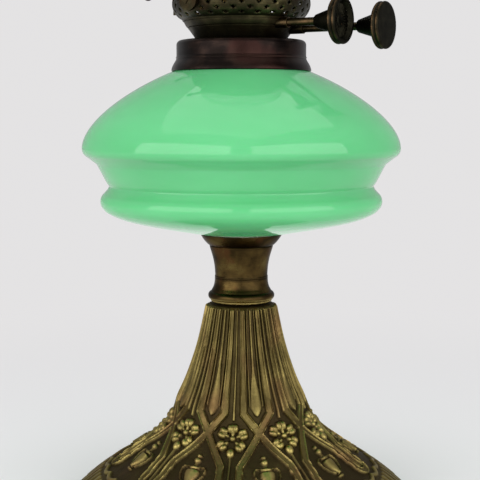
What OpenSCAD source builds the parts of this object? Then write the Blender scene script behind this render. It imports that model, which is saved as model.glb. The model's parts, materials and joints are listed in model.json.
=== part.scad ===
// Oil table lamp with twin flat wicks: cast foot, glass font, lift-out burner and chimney.
// Millimetres, +Z up. The origin is the centre of the underside.

/* [Foot] */
// Radius of the foot at its rim
foot_r = 92; // [80:1:104]
// Height of the foot casting above the pad
foot_h = 108; // [98:1:125]
// Height of the plain rim above the pad
rim_h = 3; // [2:0.5:6]
// Radius of the casting at its top
stem_r = 18.2; // [16:0.1:21]
// Radius where the stem turns into the spreading foot
flare_r = 33.6; // [30:0.1:38]
// Height of that turn above the pad
flare_h = 56; // [48:0.5:64]
// Wall of the casting, behind the relief
cast_wall = 3; // [2.5:0.1:4]
// Depth of the relief
relief = 1.3; // [0.6:0.1:1.8]
// Turn of the relief from the winders' side
relief_turn = 14.7; // [0:0.1:40]
// Repeats of the relief round the foot
bays = 9; // [7:1:11]
// Width of the crossing straps
strap_w = 4.2; // [3:0.1:6]
// Thickness of the cloth pad under the foot
pad_t = 1.5; // [1:0.1:3]
// Radius of the ballast disc
ballast_r = 76; // [60:1:80]
// Thickness of the ballast disc
ballast_t = 6; // [4:0.5:8]
// Height of the ballast disc above the pad
ballast_h = 6.5; // [6:0.5:9]

/* [Neck] */
// Height of the turned ring on top of the casting
ring_h = 12.6; // [10:0.1:16]
// Outer radius of its bead
ring_r = 17.4; // [16:0.1:20]
// Height of the flared cup under the font
neck_h = 22.8; // [20:0.1:30]
// Radius of the neck at its waist
waist_r = 13.7; // [12.5:0.1:15]
// Outer radius of the cup's lip
lip_r = 21.4; // [21:0.1:24]
// Wall of the cup
neck_wall = 1.6; // [1.2:0.1:2]
// Diameter of the tie rod
rod_d = 6; // [5:0.5:8]
// Radius of the cap cemented under the font
cap_r = 19.2; // [17:0.1:19.6]
// Thickness of that cap
cap_t = 2.2; // [1.5:0.1:3]
// Radius of the cap's threaded boss
boss_r = 6.5; // [5.5:0.1:8]

/* [Font] */
// Largest radius of the glass
font_r = 82; // [76:0.5:92]
// Height of the glass at that radius, above its underside
font_mid_h = 44; // [41:0.1:50]
// Height of the shoulder above the widest part
shoulder_h = 39.7; // [36:0.1:50]
// Height of the neck of the glass above the shoulder
glass_neck_h = 12; // [8:0.5:16]
// Radius of the waist between the two swellings
font_waist_r = 68.4; // [64:0.1:74]
// Radius of the lower swelling
bead_r = 73; // [70:0.1:80]
// Wall of the glass
glass_t = 3.4; // [2.5:0.1:4.5]
// Outer radius of the neck of the glass
glass_neck_r = 29.6; // [28.5:0.1:31]

/* [Collar] */
// Outer radius of the collar's body
collar_r = 33.3; // [33:0.1:36]
// Outer radius of the collar's flared foot
collar_foot_r = 36; // [35:0.1:39]
// Height of the collar
collar_h = 16; // [14:0.1:20]
// Thickness of the spun brass
collar_t = 1; // [0.8:0.1:1.4]
// Radius of the opening that takes the burner
mouth_r = 22.4; // [22:0.1:24]
// Depth of the ring round that opening
mouth_h = 8; // [5:0.5:10]
// Thickness of the cement that holds collar and cap
cement_t = 0.6; // [0.4:0.1:1]

/* [Burner] */
// Height of the burner's cup above the collar
cup_h = 8.9; // [8.5:0.1:11]
// Outer radius of the cup at its foot
cup_foot_r = 23.3; // [22.8:0.1:25]
// Outer radius of the cup at its rim
cup_rim_r = 29.4; // [29:0.1:32]
// Thickness of the burner's sheet brass
sheet_t = 0.9; // [0.7:0.1:1.1]
// Length of the skirt that fits in the collar
skirt_h = 9; // [6:0.5:12]
// Radius of the basket at its widest
basket_r = 35.4; // [34.5:0.1:37]
// Radius of the basket's bulge, in section
bulge_r = 8.8; // [8.4:0.1:10]
// Rows of holes in the basket
hole_rows = 6; // [4:1:7]
// Holes in each row
holes_per_row = 26; // [18:2:28]
// Radius of a hole
hole_r = 1.2; // [0.6:0.05:1.3]
// Turn of the holes from the winders' side
hole_turn = -3.4; // [-7:0.1:7]
// Height of the pierced plate above the cup's rim
plate_up = 2; // [1.6:0.1:3]

/* [Wicks and winders] */
// Width of a wick
wick_w = 25.4; // [22:0.1:27]
// Thickness of a wick
wick_t = 1.6; // [1.2:0.1:2]
// Length of a wick
wick_l = 108; // [90:1:110]
// Height of a wick's top above its tube
wick_up = 1.5; // [0.5:0.1:3]
// Distance from the lamp's axis to each wick
wick_y = 4.1; // [3.8:0.1:5]
// Wall of a wick tube
tube_t = 0.45; // [0.3:0.05:0.6]
// Height of a wick tube above the cup's rim
tube_up = 26; // [24:0.1:28]
// Length of a wick tube
tube_l = 44; // [38:0.5:50]
// Radius of the toothed wheels, over the teeth
wheel_r = 2.8; // [2.4:0.1:3]
// Teeth on a wheel
teeth = 12; // [9:1:16]
// Thickness of a wheel
wheel_w = 3; // [2:0.5:4]
// Diameter of a winder's spindle
spindle_d = 4; // [3:0.1:4.2]
// Height of the front spindle above the collar
front_h = 7.2; // [6.6:0.1:7.6]
// Height of the back spindle above the collar
back_h = 5.2; // [5:0.1:6.4]
// Reach of the front winder, to its knob's face
front_reach = 62.4; // [58:0.1:70]
// Reach of the back winder, to its knob's face
back_reach = 77.6; // [72:0.1:90]
// Radius of a knob
knob_r = 11.5; // [10:0.1:13]
// Thickness of a knob's edge, over its two ridges
knob_rim = 4.2; // [3.6:0.1:5]
// Length of a knob from its face to the end of its hub
knob_l = 15.5; // [12:0.5:16]

/* [Gallery] */
// Outer radius of the gallery's rim
gallery_r = 34.8; // [34:0.1:37]
// Height of the gallery's rim
gallery_h = 6; // [4:0.5:9]
// Points round the rim
points = 16; // [8:2:24]
// Height of the flame dome
dome_h = 19; // [18:0.5:23]
// Radius of the flame dome
dome_r = 27; // [26:0.1:28.5]
// Width of a flame slot
slot_w = 5.2; // [4.8:0.1:5.4]
// Length of a flame slot
slot_l = 28; // [26.5:0.5:31]

/* [Levers] */
// Distance from the lamp's axis to the gallery lever's pin
lever_x = 38.4; // [38:0.1:41]
// Length of the gallery lever's inner arm
lever_in = 14.5; // [12:0.1:17]
// Length of the gallery lever's outer arm
lever_out = 20; // [16:0.5:30]
// Radius of the ball on its end
ball_r = 2.7; // [1.8:0.1:3]
// Height of that ball above the lever's pin
ball_up = 8.7; // [6:0.1:9]
// Distance from the wicks' middle to the snuffer's shaft
crank_l = 9.6; // [9:0.1:11]
// Radius of the snuffer lever's hub
hub_r = 4.8; // [4:0.1:6]
// Length of the snuffer's outer lever
snuff_out = 22; // [16:0.5:28]

/* [Chimney] */
// Outer radius of the chimney at its foot
chimney_r = 31.7; // [31:0.1:32]
// Wall of the chimney
chimney_t = 1.8; // [1.4:0.1:2.4]
// Height of the chimney
chimney_h = 230; // [200:5:260]
// Outer radius of its bulge
chimney_bulge_r = 42; // [38:0.5:46]
// Outer radius of its top
chimney_top_r = 25; // [22:0.5:30]

/* [Fits] */
// Running clearance of a spindle or shaft, on the radius
fit = 0.08; // [0.05:0.01:0.1]
// Gap between pieces that move past each other
gap = 0.3; // [0.25:0.05:0.4]

/* [Hidden] */
$fn = 64;

old_brass = [0.36, 0.31, 0.17];
dark_brass = [0.20, 0.17, 0.10];
collar_brown = [0.20, 0.13, 0.11];
green_glass = [0.44, 0.80, 0.55];
clear_glass = [0.85, 0.93, 0.93, 0.4];
plaster = [0.80, 0.77, 0.70];
cotton = [0.86, 0.83, 0.74];
iron = [0.22, 0.22, 0.23];
cloth = [0.14, 0.26, 0.17];
eps = 0.01;

// ---- heights, from the table up ----
cast_top = pad_t + foot_h;
flare_z = pad_t + flare_h;
ballast_z = pad_t + ballast_h;
ring_top = cast_top + ring_h;
lip_z = ring_top + neck_h;                 // top of the neck cup's lip
cap_z = lip_z - cap_t - 0.2;               // underside of the cap's flange
font_z = cap_z + cap_t + cement_t;         // underside of the glass
font_mid_z = font_z + font_mid_h;
shoulder_z = font_mid_z + shoulder_h;
glass_top = shoulder_z + glass_neck_h;
collar_z = shoulder_z - 0.3;
collar_top = collar_z + collar_h;
cup_z = collar_top + gap;
cup_top = cup_z + cup_h;
plate_z = cup_top + plate_up;
tube_top = cup_top + tube_up;
wick_z = tube_top + wick_up - wick_l;
front_z = collar_top + front_h;
back_z = collar_top + back_h;
floor_z = cup_z + sheet_t;
floor_t = 1;
plate_t = 0.7;
floor_r = cup_foot_r - sheet_t - 0.2;

// ---- round outlines ----
function arc(cx, cz, r, a0, a1, n) = [for (i = [0:n]) let (a = a0 + (a1 - a0) * i / n)
    [cx + r * cos(a), cz + r * sin(a)]];
function bez(p, t) = p[0] * pow(1 - t, 3) + 3 * p[1] * t * pow(1 - t, 2)
    + 3 * p[2] * t * t * (1 - t) + p[3] * pow(t, 3);
function curve(p, n) = [for (i = [0:n]) bez(p, i / n)];
module turned(pts) { rotate_extrude() polygon(pts); }
module tube(r_in, r_out, h) {
    difference() {
        cylinder(r = r_out, h = h);
        translate([0, 0, -1]) cylinder(r = r_in, h = h + 2);
    }
}
module along_x(x, y, z) { translate([x, y, z]) rotate([0, 90, 0]) children(); }
module along_y(x, y, z) { translate([x, y, z]) rotate([-90, 0, 0]) children(); }

// ---- foot casting: its outline, and the relief that is cut back from it ----
stem_rate = ln(flare_r / stem_r) / (cast_top - flare_z);
function stem_radius(z) = stem_r * exp(stem_rate * (cast_top - z));
foot_span = foot_r - flare_r;
foot_drop = flare_z - pad_t - rim_h;
foot_curve = [[flare_r, flare_z],
              [flare_r + 0.13 * foot_span, flare_z - 0.43 * foot_drop],
              [flare_r + 0.73 * foot_span, flare_z - 0.65 * foot_drop],
              [foot_r - 0.4, pad_t + rim_h]];
cross_t = 0.12;                            // along the curve: where the straps cross
bend_t = 0.36;                             // where they turn to run outwards
loop_t = 0.58;                             // where each pair starts to close in a round loop
ridge_t = [0.645, 0.67];                   // ring between the straps and the reeds
reed_t = [0.7, 0.89];                      // radial reeds inside the plain rim
stem_rows = [0, 0.012, 0.035, 0.35, 0.6, 0.8, 0.91, 0.97];
foot_rows = concat([for (i = [0:12]) 0.04 * i], [0.53, loop_t, 0.62], ridge_t, reed_t, [0.93, 1]);
columns = 18 * bays;
bay = 360 / bays;
half_bay = bay / 2;
band_u = 0.42 * half_bay;                  // angle from a bay's middle to its flat bands
loop_r = 4.9;                              // from the middle of a loop to its strap
strap_u = [[0, band_u], [cross_t, half_bay], [bend_t, bay - 0.275 * half_bay]];
// Height of the stem's ribs across a bay: thin rib, flat band, thin rib, tongue
ribs = [1, 0, 0, 1, 1, 0, 1, 0, 0.4, 1, 0.4, 0, 1, 0, 1, 1, 0, 0];
tongue = [0, 0, 0, 0, 0, 0, 0, 0.5, 1.1, 1.3, 1.1, 0.5, 0, 0, 0, 0, 0, 0];

// Distance along the foot curve from the flare
function foot_run(n) = n == 0 ? 0 :
    foot_run(n - 1) + norm(bez(foot_curve, n / 25) - bez(foot_curve, (n - 1) / 25));
run_of = [for (n = [0:25]) [n / 25, foot_run(n)]];
flower_s = lookup(0.18, run_of);
urn_s = lookup(0.305, run_of);
loop_s = lookup(loop_t, run_of);
petals = [90, 27, 153, -43, 223];          // angles of the flower's petals
urn_side = [[0, 1.6], [3, 2.2], [6, 1.4], [7, 3.4], [10, 4.2], [13, 3.6], [18, 1.4], [20, 2.6], [21, 0]];

function lump(d) = d < 1 ? sqrt(1 - d * d) : 0;
// How far the rounded top of the stem stands back
function shoulder(f) = 1.9 * (1 - lump(max(0, 1 - f / 0.035)));
function stem_height(k, f) = f < 0.03 ? 1 :
    let (swell = max(0, (f - 0.45) / 0.4)) max(ribs[k], tongue[k] * min(1, swell) * (f > 0.95 ? 0.4 : 1));
function strap_height(u, t, r, s) =
    let (c = t < bend_t ? lookup(t, strap_u) : bay - loop_r / r * 180 / PI, lean = t < bend_t ? 0.84 : 1,
         side = min(abs(u - c), abs(bay - c - u)) * r * PI / 180 * lean,
         off = t > loop_t ? abs(norm([u * r * PI / 180, s - loop_s]) - loop_r) : side)
    max(0, min(1, (strap_w / 2 + 0.7 - off) / 0.9));
function flower_height(x, y) = max(
    1.3 * lump(norm([x, y]) / 1.7), 1.5 * lump(norm([x, y + 7.6]) / 2.5),
    max([for (a = petals) 1.5 * lump(norm([x - 5 * cos(a), y - 5 * sin(a)]) / 2.5)]));
function urn_height(x, y) = y < 0 || y > 21 ? 0 : max(0, min(1.4, lookup(y, urn_side) + 0.6 - x));
function foot_height(k, t, r) =
    let (u = min(k, 18 - k) * bay / 18, s = lookup(t, run_of), across = u * r * PI / 180,
         stalk = k == 0 && (t < 0.06 || (t > 0.3 && t < 0.6)) ? 0.8 : 0)
    t >= 0.93 || (t >= ridge_t[0] && t <= ridge_t[1]) ? 1 : t >= reed_t[0] ? 1 - k % 2 :
    t > 0.63 ? 0 : max(stalk, strap_height(u, t, r, s), flower_height(across, flower_s - s),
                      urn_height((half_bay - u) * r * PI / 180, s - urn_s));

// Outline points from the top down, each with a flag: stem, foot curve or rim
outer_rows = concat(
    [for (f = stem_rows) let (z = cast_top - f * (cast_top - flare_z))
        [stem_radius(z) - shoulder(f), z, 0, f]],
    [for (t = foot_rows) let (p = bez(foot_curve, t)) [p[0], p[1], 1, t]],
    [[foot_r, pad_t + rim_h - 0.8, 2, 0], [foot_r, pad_t + 0.8, 2, 0], [foot_r - 0.8, pad_t, 2, 0]]);
function row_height(k, row) = row[2] == 0 ? stem_height(k, row[3]) :
    row[2] == 1 ? foot_height(k, row[3], row[0]) : 1;
// On the stem the relief is cut sideways; on the foot it is cut down and in
function cut_dir(row) = row[2] == 0 ? [1, 0.2] :
    row[2] == 1 ? [0.85 - 0.55 * row[3], 0.5 + 0.4 * row[3]] : [0, 0];
function outer_ring(row) = [for (c = [0:columns - 1])
    let (a = 360 * c / columns, d = relief * (1 - row_height(c % 18, row)),
         r = row[0] - d * cut_dir(row)[0], z = row[1] - d * cut_dir(row)[1])
    [r * cos(a), r * sin(a), min(z, cast_top)]];

behind = cast_wall + relief;               // from the outline to the inside face
ledge_z = ballast_z + ballast_t;
rod_hole = rod_d / 2 + 0.3;
web_t = 5;                                 // thickness of the casting's top
inner_rows = concat(
    [[foot_r - 2 * cast_wall + 1, pad_t], [ballast_r + 3.2, ledge_z - 3.2],
     [ballast_r + 0.4, ledge_z - 1], [ballast_r + 0.4, ledge_z], [ballast_r - 5, ledge_z]],
    [for (t = [0.66, 0.5, 0.3, 0.1]) let (p = bez(foot_curve, t))
        [p[0] - behind * 0.7, p[1] - behind * (0.6 + 0.5 * t)]],
    [for (f = [0.85, 0.5, 0.12]) let (z = cast_top - f * (cast_top - flare_z))
        [stem_radius(z) - behind, min(z, cast_top - web_t)]],
    [[rod_hole, cast_top - web_t], [rod_hole, cast_top]]);
inner_columns = columns / 3;
function inner_ring(p) = [for (c = [0:inner_columns - 1]) let (a = 360 * c / inner_columns)
    [p[0] * cos(a), p[0] * sin(a), p[1]]];

// Two triangles for each cell of a band between two rings of n points
function band(a, b, n) = [for (i = [0:n - 1]) let (j = (i + 1) % n)
    each [[a + i, b + i, b + j], [a + i, b + j, a + j]]];
// A flat ring between a ring of 3n points and a ring of n points
function fan(o, i, n, up) = [for (k = [0:n - 1]) let (k2 = (k + 1) % n, o2 = (3 * k + 3) % (3 * n))
    each [for (f = [[o + 3 * k, o + 3 * k + 1, i + k], [o + 3 * k + 1, o + 3 * k + 2, i + k],
                    [o + 3 * k + 2, o + o2, i + k2], [o + 3 * k + 2, i + k2, i + k]])
          up ? [f[2], f[1], f[0]] : f]];
inner_base = len(outer_rows) * columns;
last_outer = (len(outer_rows) - 1) * columns;
last_inner = inner_base + (len(inner_rows) - 1) * inner_columns;

module foot_casting() {
    color(old_brass) rotate([0, 0, relief_turn]) polyhedron(
        points = concat([for (row = outer_rows) each outer_ring(row)],
                        [for (p = inner_rows) each inner_ring(p)]),
        faces = concat(
            [for (r = [0:len(outer_rows) - 2]) each
                [for (f = band(r * columns, (r + 1) * columns, columns)) [f[2], f[1], f[0]]]],
            [for (f = fan(last_outer, inner_base, inner_columns, true)) [f[2], f[1], f[0]]],
            [for (r = [0:len(inner_rows) - 2]) each
                [for (f = band(inner_base + r * inner_columns, inner_base + (r + 1) * inner_columns,
                               inner_columns)) [f[2], f[1], f[0]]]],
            fan(0, last_inner, inner_columns, true)));
}
module foot_pad() { color(cloth) cylinder(r = foot_r - 1.5, h = pad_t, $fn = 128); }
module ballast_disc() {
    color(iron) translate([0, 0, ballast_z]) tube(rod_hole, ballast_r, ballast_t, $fn = 128);
}

// ---- tie rod, from the nut under the ballast up to the font's cap ----
washer_t = 1.2;
nut_t = 4;
nut_z = ballast_z - washer_t - nut_t;
boss_z = cap_z - 11;
module tie_rod() {
    color(iron) translate([0, 0, nut_z - 0.5]) cylinder(d = rod_d, h = cap_z - 2 - nut_z + 0.5);
}
module tie_rod_washer() {
    color(iron) translate([0, 0, nut_z + nut_t]) tube(rod_hole, 1.5 * rod_d, washer_t);
}
module tie_rod_nut() {
    color(iron) translate([0, 0, nut_z]) difference() {
        cylinder(r = rod_d * 0.96, h = nut_t, $fn = 6);
        translate([0, 0, -1]) cylinder(d = rod_d, h = nut_t + 2, $fn = 64);
    }
}

// ---- turned neck ----
bead_half = 2.3;                           // half height of the ring's bead
module neck_ring() {
    color(old_brass) turned(concat(
        [[rod_hole, cast_top], [ring_r - 1.6, cast_top], [ring_r - 1.3, cast_top + 0.7]],
        arc(ring_r - bead_half, cast_top + 3.1, bead_half, -60, 70, 10),
        [[ring_r - 1.9, cast_top + 6]],
        curve([[ring_r - 2.1, cast_top + 6.4], [ring_r - 3.2, cast_top + 8],
               [waist_r + 0.3, cast_top + 0.8 * ring_h], [waist_r + 0.2, ring_top - 0.8]], 8),
        [[waist_r + 0.2, ring_top], [rod_hole, ring_top]]));
}
groove_z = lip_z - 5.9;                    // groove between the cup's body and its lip
cup_side = [[waist_r, ring_top + 1.2], [waist_r + 0.2, ring_top + 0.4 * neck_h],
            [waist_r + 1.8, ring_top + 0.54 * neck_h], [lip_r - 4.8, groove_z - 0.4]];
module neck_cup() {
    outer = concat(
        [[waist_r + 0.2, ring_top], [waist_r + 0.2, ring_top + 0.8]], curve(cup_side, 10),
        [[lip_r - 5, groove_z], [lip_r - 4.4, groove_z + 0.3]],
        curve([[lip_r - 4.2, groove_z + 0.4], [lip_r - 2.6, groove_z + 1.8],
               [lip_r - 1, groove_z + 3.8], [lip_r, lip_z]], 8));
    inner = [[cap_r + 0.2, lip_z], [cap_r + 0.2, cap_z], [cap_r - 2.4, cap_z],
             [lip_r - 4.8 - neck_wall, groove_z], [waist_r + 0.8, groove_z - 2.6],
             [waist_r - neck_wall, boss_z - 1], [waist_r - neck_wall, ring_top + 3],
             [rod_hole, ring_top + 3], [rod_hole, ring_top]];
    color(old_brass) turned(concat(outer, inner));
}
module font_cap() {
    color(old_brass) difference() {
        union() {
            translate([0, 0, cap_z]) cylinder(r = cap_r, h = cap_t);
            translate([0, 0, boss_z]) cylinder(r = boss_r, h = cap_z - boss_z + eps);
        }
        translate([0, 0, boss_z - 1]) cylinder(d = rod_d, h = cap_z - 2 - boss_z + 1);
    }
}
module font_cement() { color(plaster) translate([0, 0, cap_z + cap_t]) cylinder(r = cap_r, h = cement_t); }

// ---- glass font ----
bulge_turn = 4.5;                          // radius of the turn under the widest part
bead_turn = 5.3;                           // radius of the lower swelling, in section
bead_z = font_z + 17;
waist_z = font_z + 24.9;
function font_side(d) = concat(
    [[glass_neck_r - d, shoulder_z + 1.5]],
    curve([[glass_neck_r + 4.9 - d * 0.6, shoulder_z - d],
           [0.5 * glass_neck_r + 0.5 * font_r + 3.8 - d * 0.6, shoulder_z - 10 - d],
           [font_r - d, font_mid_z + 13], [font_r - d, font_mid_z]], 12),
    arc(font_r - bulge_turn - d, font_mid_z, bulge_turn, -12, -60, 4),
    curve([[font_r - 7.2 - d, font_mid_z - 7.6], [font_r - 9.6 - d, font_mid_z - 11.5],
           [font_waist_r + 2 - d, waist_z + 2.4], [font_waist_r - d, waist_z]], 5),
    [[font_waist_r + 0.7 - d, waist_z - 1.6]],
    arc(bead_r - bead_turn - d, bead_z, bead_turn, 52, -38, 8));
module font() {
    outer = concat([[glass_neck_r, glass_top]], font_side(0),
        curve([[bead_r - 2.3, font_z + 12.3], [bead_r - 9, font_z + 7.1],
               [bead_r - 22, font_z + 5.4], [cap_r + 8, font_z + 0.8]], 8),
        [[cap_r + 0.6, font_z], [0, font_z]]);
    inner = concat([[glass_neck_r - glass_t, glass_top]], font_side(glass_t),
        [[bead_r - 8, font_z + 11.3], [bead_r - 18, font_z + 9.2],
         [cap_r + 10, font_z + glass_t + 1.6], [0, font_z + glass_t]]);
    flip = [for (i = [len(inner) - 1:-1:0]) inner[i]];
    color(green_glass) rotate_extrude($fn = 128) polygon(concat(outer, flip));
}

// ---- collar ----
corner = 2.4;                              // radius of the collar's top corner
module collar() {
    outer = concat(
        [[mouth_r, collar_top], [collar_r - 9, collar_top]],
        arc(collar_r - corner, collar_top - corner - 0.3, corner, 84, 0, 6),
        [[collar_r, collar_z + 7.6], [collar_r + 0.35, collar_z + 7], [collar_r + 0.1, collar_z + 6.4]],
        curve([[collar_r + 0.3, collar_z + 5.8], [collar_r + 1, collar_z + 4.4],
               [collar_foot_r - 0.4, collar_z + 3], [collar_foot_r, collar_z + 0.5]], 6),
        [[collar_foot_r - 0.3, collar_z]]);
    inner = concat(
        [[collar_foot_r - collar_t, collar_z + 0.4], [collar_r - collar_t + 0.4, collar_z + 5.4],
         [collar_r - collar_t, collar_z + 6.4], [collar_r - collar_t, collar_top - corner],
         [collar_r - corner, collar_top - collar_t], [mouth_r + 1.4, collar_top - collar_t],
         [mouth_r + 1.4, collar_top - mouth_h], [mouth_r, collar_top - mouth_h]]);
    color(collar_brown) rotate_extrude($fn = 128) polygon(concat(outer, inner));
}
module collar_cement() {
    color(plaster) turned([
        [glass_neck_r, collar_z + 4], [collar_r - collar_t - 0.1, collar_z + 6.4],
        [collar_r - collar_t - 0.1, collar_top - corner - 0.2],
        [collar_r - corner - 0.3, collar_top - collar_t], [mouth_r + 3, collar_top - collar_t],
        [mouth_r + 3, glass_top], [glass_neck_r, glass_top]]);
}

// ---- burner ----
skirt_r = mouth_r - fit;
bush_r = 2.6;
spindle_off = wick_y + wick_t / 2 + gap + wheel_r;
module spindle_bores(r) {
    along_x(18, -spindle_off, front_z) cylinder(r = r, h = 18);
    along_x(18, spindle_off, back_z) cylinder(r = r, h = 18);
}
band_z = cup_z + 0.65 * cup_h;             // groove under the band round the cup's rim
band_r = cup_rim_r - 2;
module burner_cup() {
    color(dark_brass) difference() {
        turned(concat(
            [[skirt_r - sheet_t, collar_top - skirt_h], [skirt_r, collar_top - skirt_h],
             [skirt_r, cup_z]],
            curve([[cup_foot_r, cup_z], [cup_foot_r + 0.9, cup_z + 0.13 * cup_h],
                   [band_r - 1.6, cup_z + 0.42 * cup_h], [band_r, band_z - 0.3]], 7),
            [[band_r - 0.3, band_z], [band_r + 0.5, band_z + 0.2],
             [cup_rim_r - 0.8, band_z + 1.2], [cup_rim_r - 0.1, cup_top - 0.6], [cup_rim_r, cup_top]],
            curve([[cup_rim_r - 1.25, cup_top], [cup_rim_r - 3.6, cup_z + 0.65 * cup_h],
                   [cup_foot_r - 0.3, cup_z + 0.36 * cup_h], [cup_foot_r - 0.8, floor_z]], 6),
            [[skirt_r - sheet_t, floor_z]]));
        spindle_bores(bush_r);
    }
}
module wick_slots(grow, h) {
    for (s = [-1, 1]) translate([-wick_w / 2 - grow, s * wick_y - wick_t / 2 - grow, -1])
        cube([wick_w + 2 * grow, wick_t + 2 * grow, h]);
}
module burner_floor() {
    color(dark_brass) translate([0, 0, floor_z]) difference() {
        cylinder(r = floor_r, h = floor_t);
        wick_slots(gap + tube_t, floor_t + 2);
        translate([0, 16, -1]) cylinder(r = 1.2, h = floor_t + 2);
    }
}
// A flat tube for one wick, open on its outer side where the toothed wheels reach the wick
wheel_x = [-8, 0, 8];
module wick_tube(s, spindle_z) {
    in_w = wick_w + 2 * gap;
    in_t = wick_t + 2 * gap;
    color(dark_brass) difference() {
        translate([-in_w / 2 - tube_t, s * wick_y - in_t / 2 - tube_t, tube_top - tube_l])
            cube([in_w + 2 * tube_t, in_t + 2 * tube_t, tube_l]);
        translate([-in_w / 2, s * wick_y - in_t / 2, tube_top - tube_l - 1])
            cube([in_w, in_t, tube_l + 2]);
        for (x = wheel_x) translate([x - wheel_w / 2 - gap, s * wick_y - (s < 0 ? 3 : 0), spindle_z - 3.2])
            cube([wheel_w + 2 * gap, 3, 6.4]);
    }
}
module wick_tube_front() { wick_tube(-1, front_z); }
module wick_tube_back() { wick_tube(1, back_z); }
module spindle_bushes() {
    color(old_brass) for (p = [[-spindle_off, front_z], [spindle_off, back_z]])
        along_x(23, p[0], p[1]) tube(spindle_d / 2 + fit, bush_r, 9);
}
pivot_d = 2.4;                             // the spindles are thinner inside the burner
post_x = -wick_w / 2 - 5;
module spindle_posts() {
    color(dark_brass) for (p = [[-spindle_off, front_z], [spindle_off, back_z]]) difference() {
        translate([post_x, p[0] - 2.2, floor_z + floor_t]) cube([2.4, 4.4, p[1] + 2.2 - floor_z - floor_t]);
        along_x(post_x - 1, p[0], p[1]) cylinder(r = pivot_d / 2 + fit, h = 5);
    }
}

// ---- pierced basket ----
bulge_x = basket_r - bulge_r;
bulge_low = -65;
bulge_high = 55;
bulge_z = cup_top + 0.9 + bulge_r * sin(-bulge_low);
holes_low = -56;                           // lower edge of the pierced part
row_step = (bulge_high - holes_low) / hole_rows;
basket_lip_z = bulge_z + bulge_r * sin(bulge_high) + 0.8;
basket_t = 0.7;
lip_in = bulge_x + (bulge_r - basket_t) * cos(bulge_high);
lever_z = bulge_z - 1.5;
shaft_z = bulge_z - 0.7;
shaft_d = 3;
tab_x = 1.7;                               // where the crank lifts the snuffer
shaft_x = tab_x - crank_l;
function near(a, b, w) = abs((a - b + 540) % 360 - 180) < w;
// Holes are left out round the lever's slot and the snuffer's shaft
function is_open(a, row_a) = !(near(a, 180, 9) && abs(row_a) < 42)
    && !(near(a, atan2(-basket_r, shaft_x), 9) && abs(row_a) < 28);
module burner_basket() {
    wall = concat(
        [[cup_rim_r - 1.25, cup_top], [cup_rim_r + 0.6, cup_top],
         [bulge_x + bulge_r * cos(bulge_low), cup_top + 0.9]],
        arc(bulge_x, bulge_z, bulge_r, holes_low, bulge_high, hole_rows),
        [[lip_in + 1.9, basket_lip_z - 0.4], [lip_in + 1.9, basket_lip_z],
         [lip_in, basket_lip_z], [lip_in, basket_lip_z - 1]],
        arc(bulge_x, bulge_z, bulge_r - basket_t, bulge_high - 4, bulge_low + 8, hole_rows),
        [[cup_rim_r - 0.2, plate_z], [cup_rim_r - 1.25, plate_z]]);
    color(dark_brass) difference() {
        turned(wall);
        for (row = [0:hole_rows - 1]) {
            a = holes_low + (row + 0.5) * row_step;
            for (k = [0:holes_per_row - 1]) {
                turn = hole_turn + (k + (row % 2) / 2) * 360 / holes_per_row;
                if (is_open(turn, a)) rotate([0, 0, turn]) translate([bulge_x, 0, bulge_z])
                    rotate([0, 90 - a, 0]) translate([0, 0, bulge_r - 2]) cylinder(r = hole_r, h = 4);
            }
        }
        spindle_bores(bush_r);
        translate([-basket_r - 1, -1.6, lever_z - 5]) cube([8, 3.2, 9.5]);
        along_y(shaft_x, -basket_r - 1, shaft_z) cylinder(r = shaft_d / 2 + fit, h = 8);
    }
}
// Pierced plate over the burner's cup
guide_y = dome_r;
guide_d = 2.4;
guide_wall = 0.8;
guide_h = 8;
air_rings = [cup_rim_r - 9.9, cup_rim_r - 3.9];
module air_plate() {
    color(dark_brass) translate([0, 0, plate_z]) difference() {
        cylinder(r = cup_rim_r - 0.5, h = plate_t);
        wick_slots(gap + tube_t, plate_t + 2);
        for (r = air_rings) for (a = [0:30:330])
            rotate([0, 0, a + 15]) translate([r, 0, -1]) cylinder(r = 1.1, h = plate_t + 2);
    }
}
module gallery_guides() {
    color(old_brass) for (s = [-1, 1]) translate([0, s * guide_y, plate_z + plate_t])
        tube(guide_d / 2 + fit, guide_d / 2 + fit + guide_wall, guide_h);
}

// ---- gallery, carried up by its lever ----
gallery_z = basket_lip_z + gap;
gallery_t = 0.8;
prong_t = 0.5;
prongs = 6;
module gallery_ring() {
    color(dark_brass) difference() {
        turned([[dome_r, gallery_z], [gallery_r, gallery_z], [gallery_r, gallery_z + gallery_h],
                [gallery_r - sheet_t, gallery_z + gallery_h], [gallery_r - sheet_t, gallery_z + gallery_t],
                [dome_r, gallery_z + gallery_t]]);
        for (k = [0:points - 1]) rotate([0, 0, (k + 0.5) * 360 / points])
            along_x(gallery_r - 3, 0, gallery_z + gallery_h) cylinder(r = 2.2, h = 6);
    }
}
module gallery_prongs() {
    color(old_brass) difference() {
        translate([0, 0, gallery_z + gallery_t])
            tube(chimney_r + 0.1, chimney_r + 0.1 + prong_t, gallery_h + 3);
        for (k = [0:prongs - 1]) rotate([0, 0, k * 360 / prongs])
            translate([20, -11, gallery_z + gallery_t + 1]) cube([20, 22, gallery_h + 4]);
    }
}
foot_pad_t = 1;
leg_x = -lever_x + lever_in;
tip_r = 1.2;
arm_drop = 2.4;
tip_z = lever_z - arm_drop;
leg_foot_z = tip_z + tip_r + gap;
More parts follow.
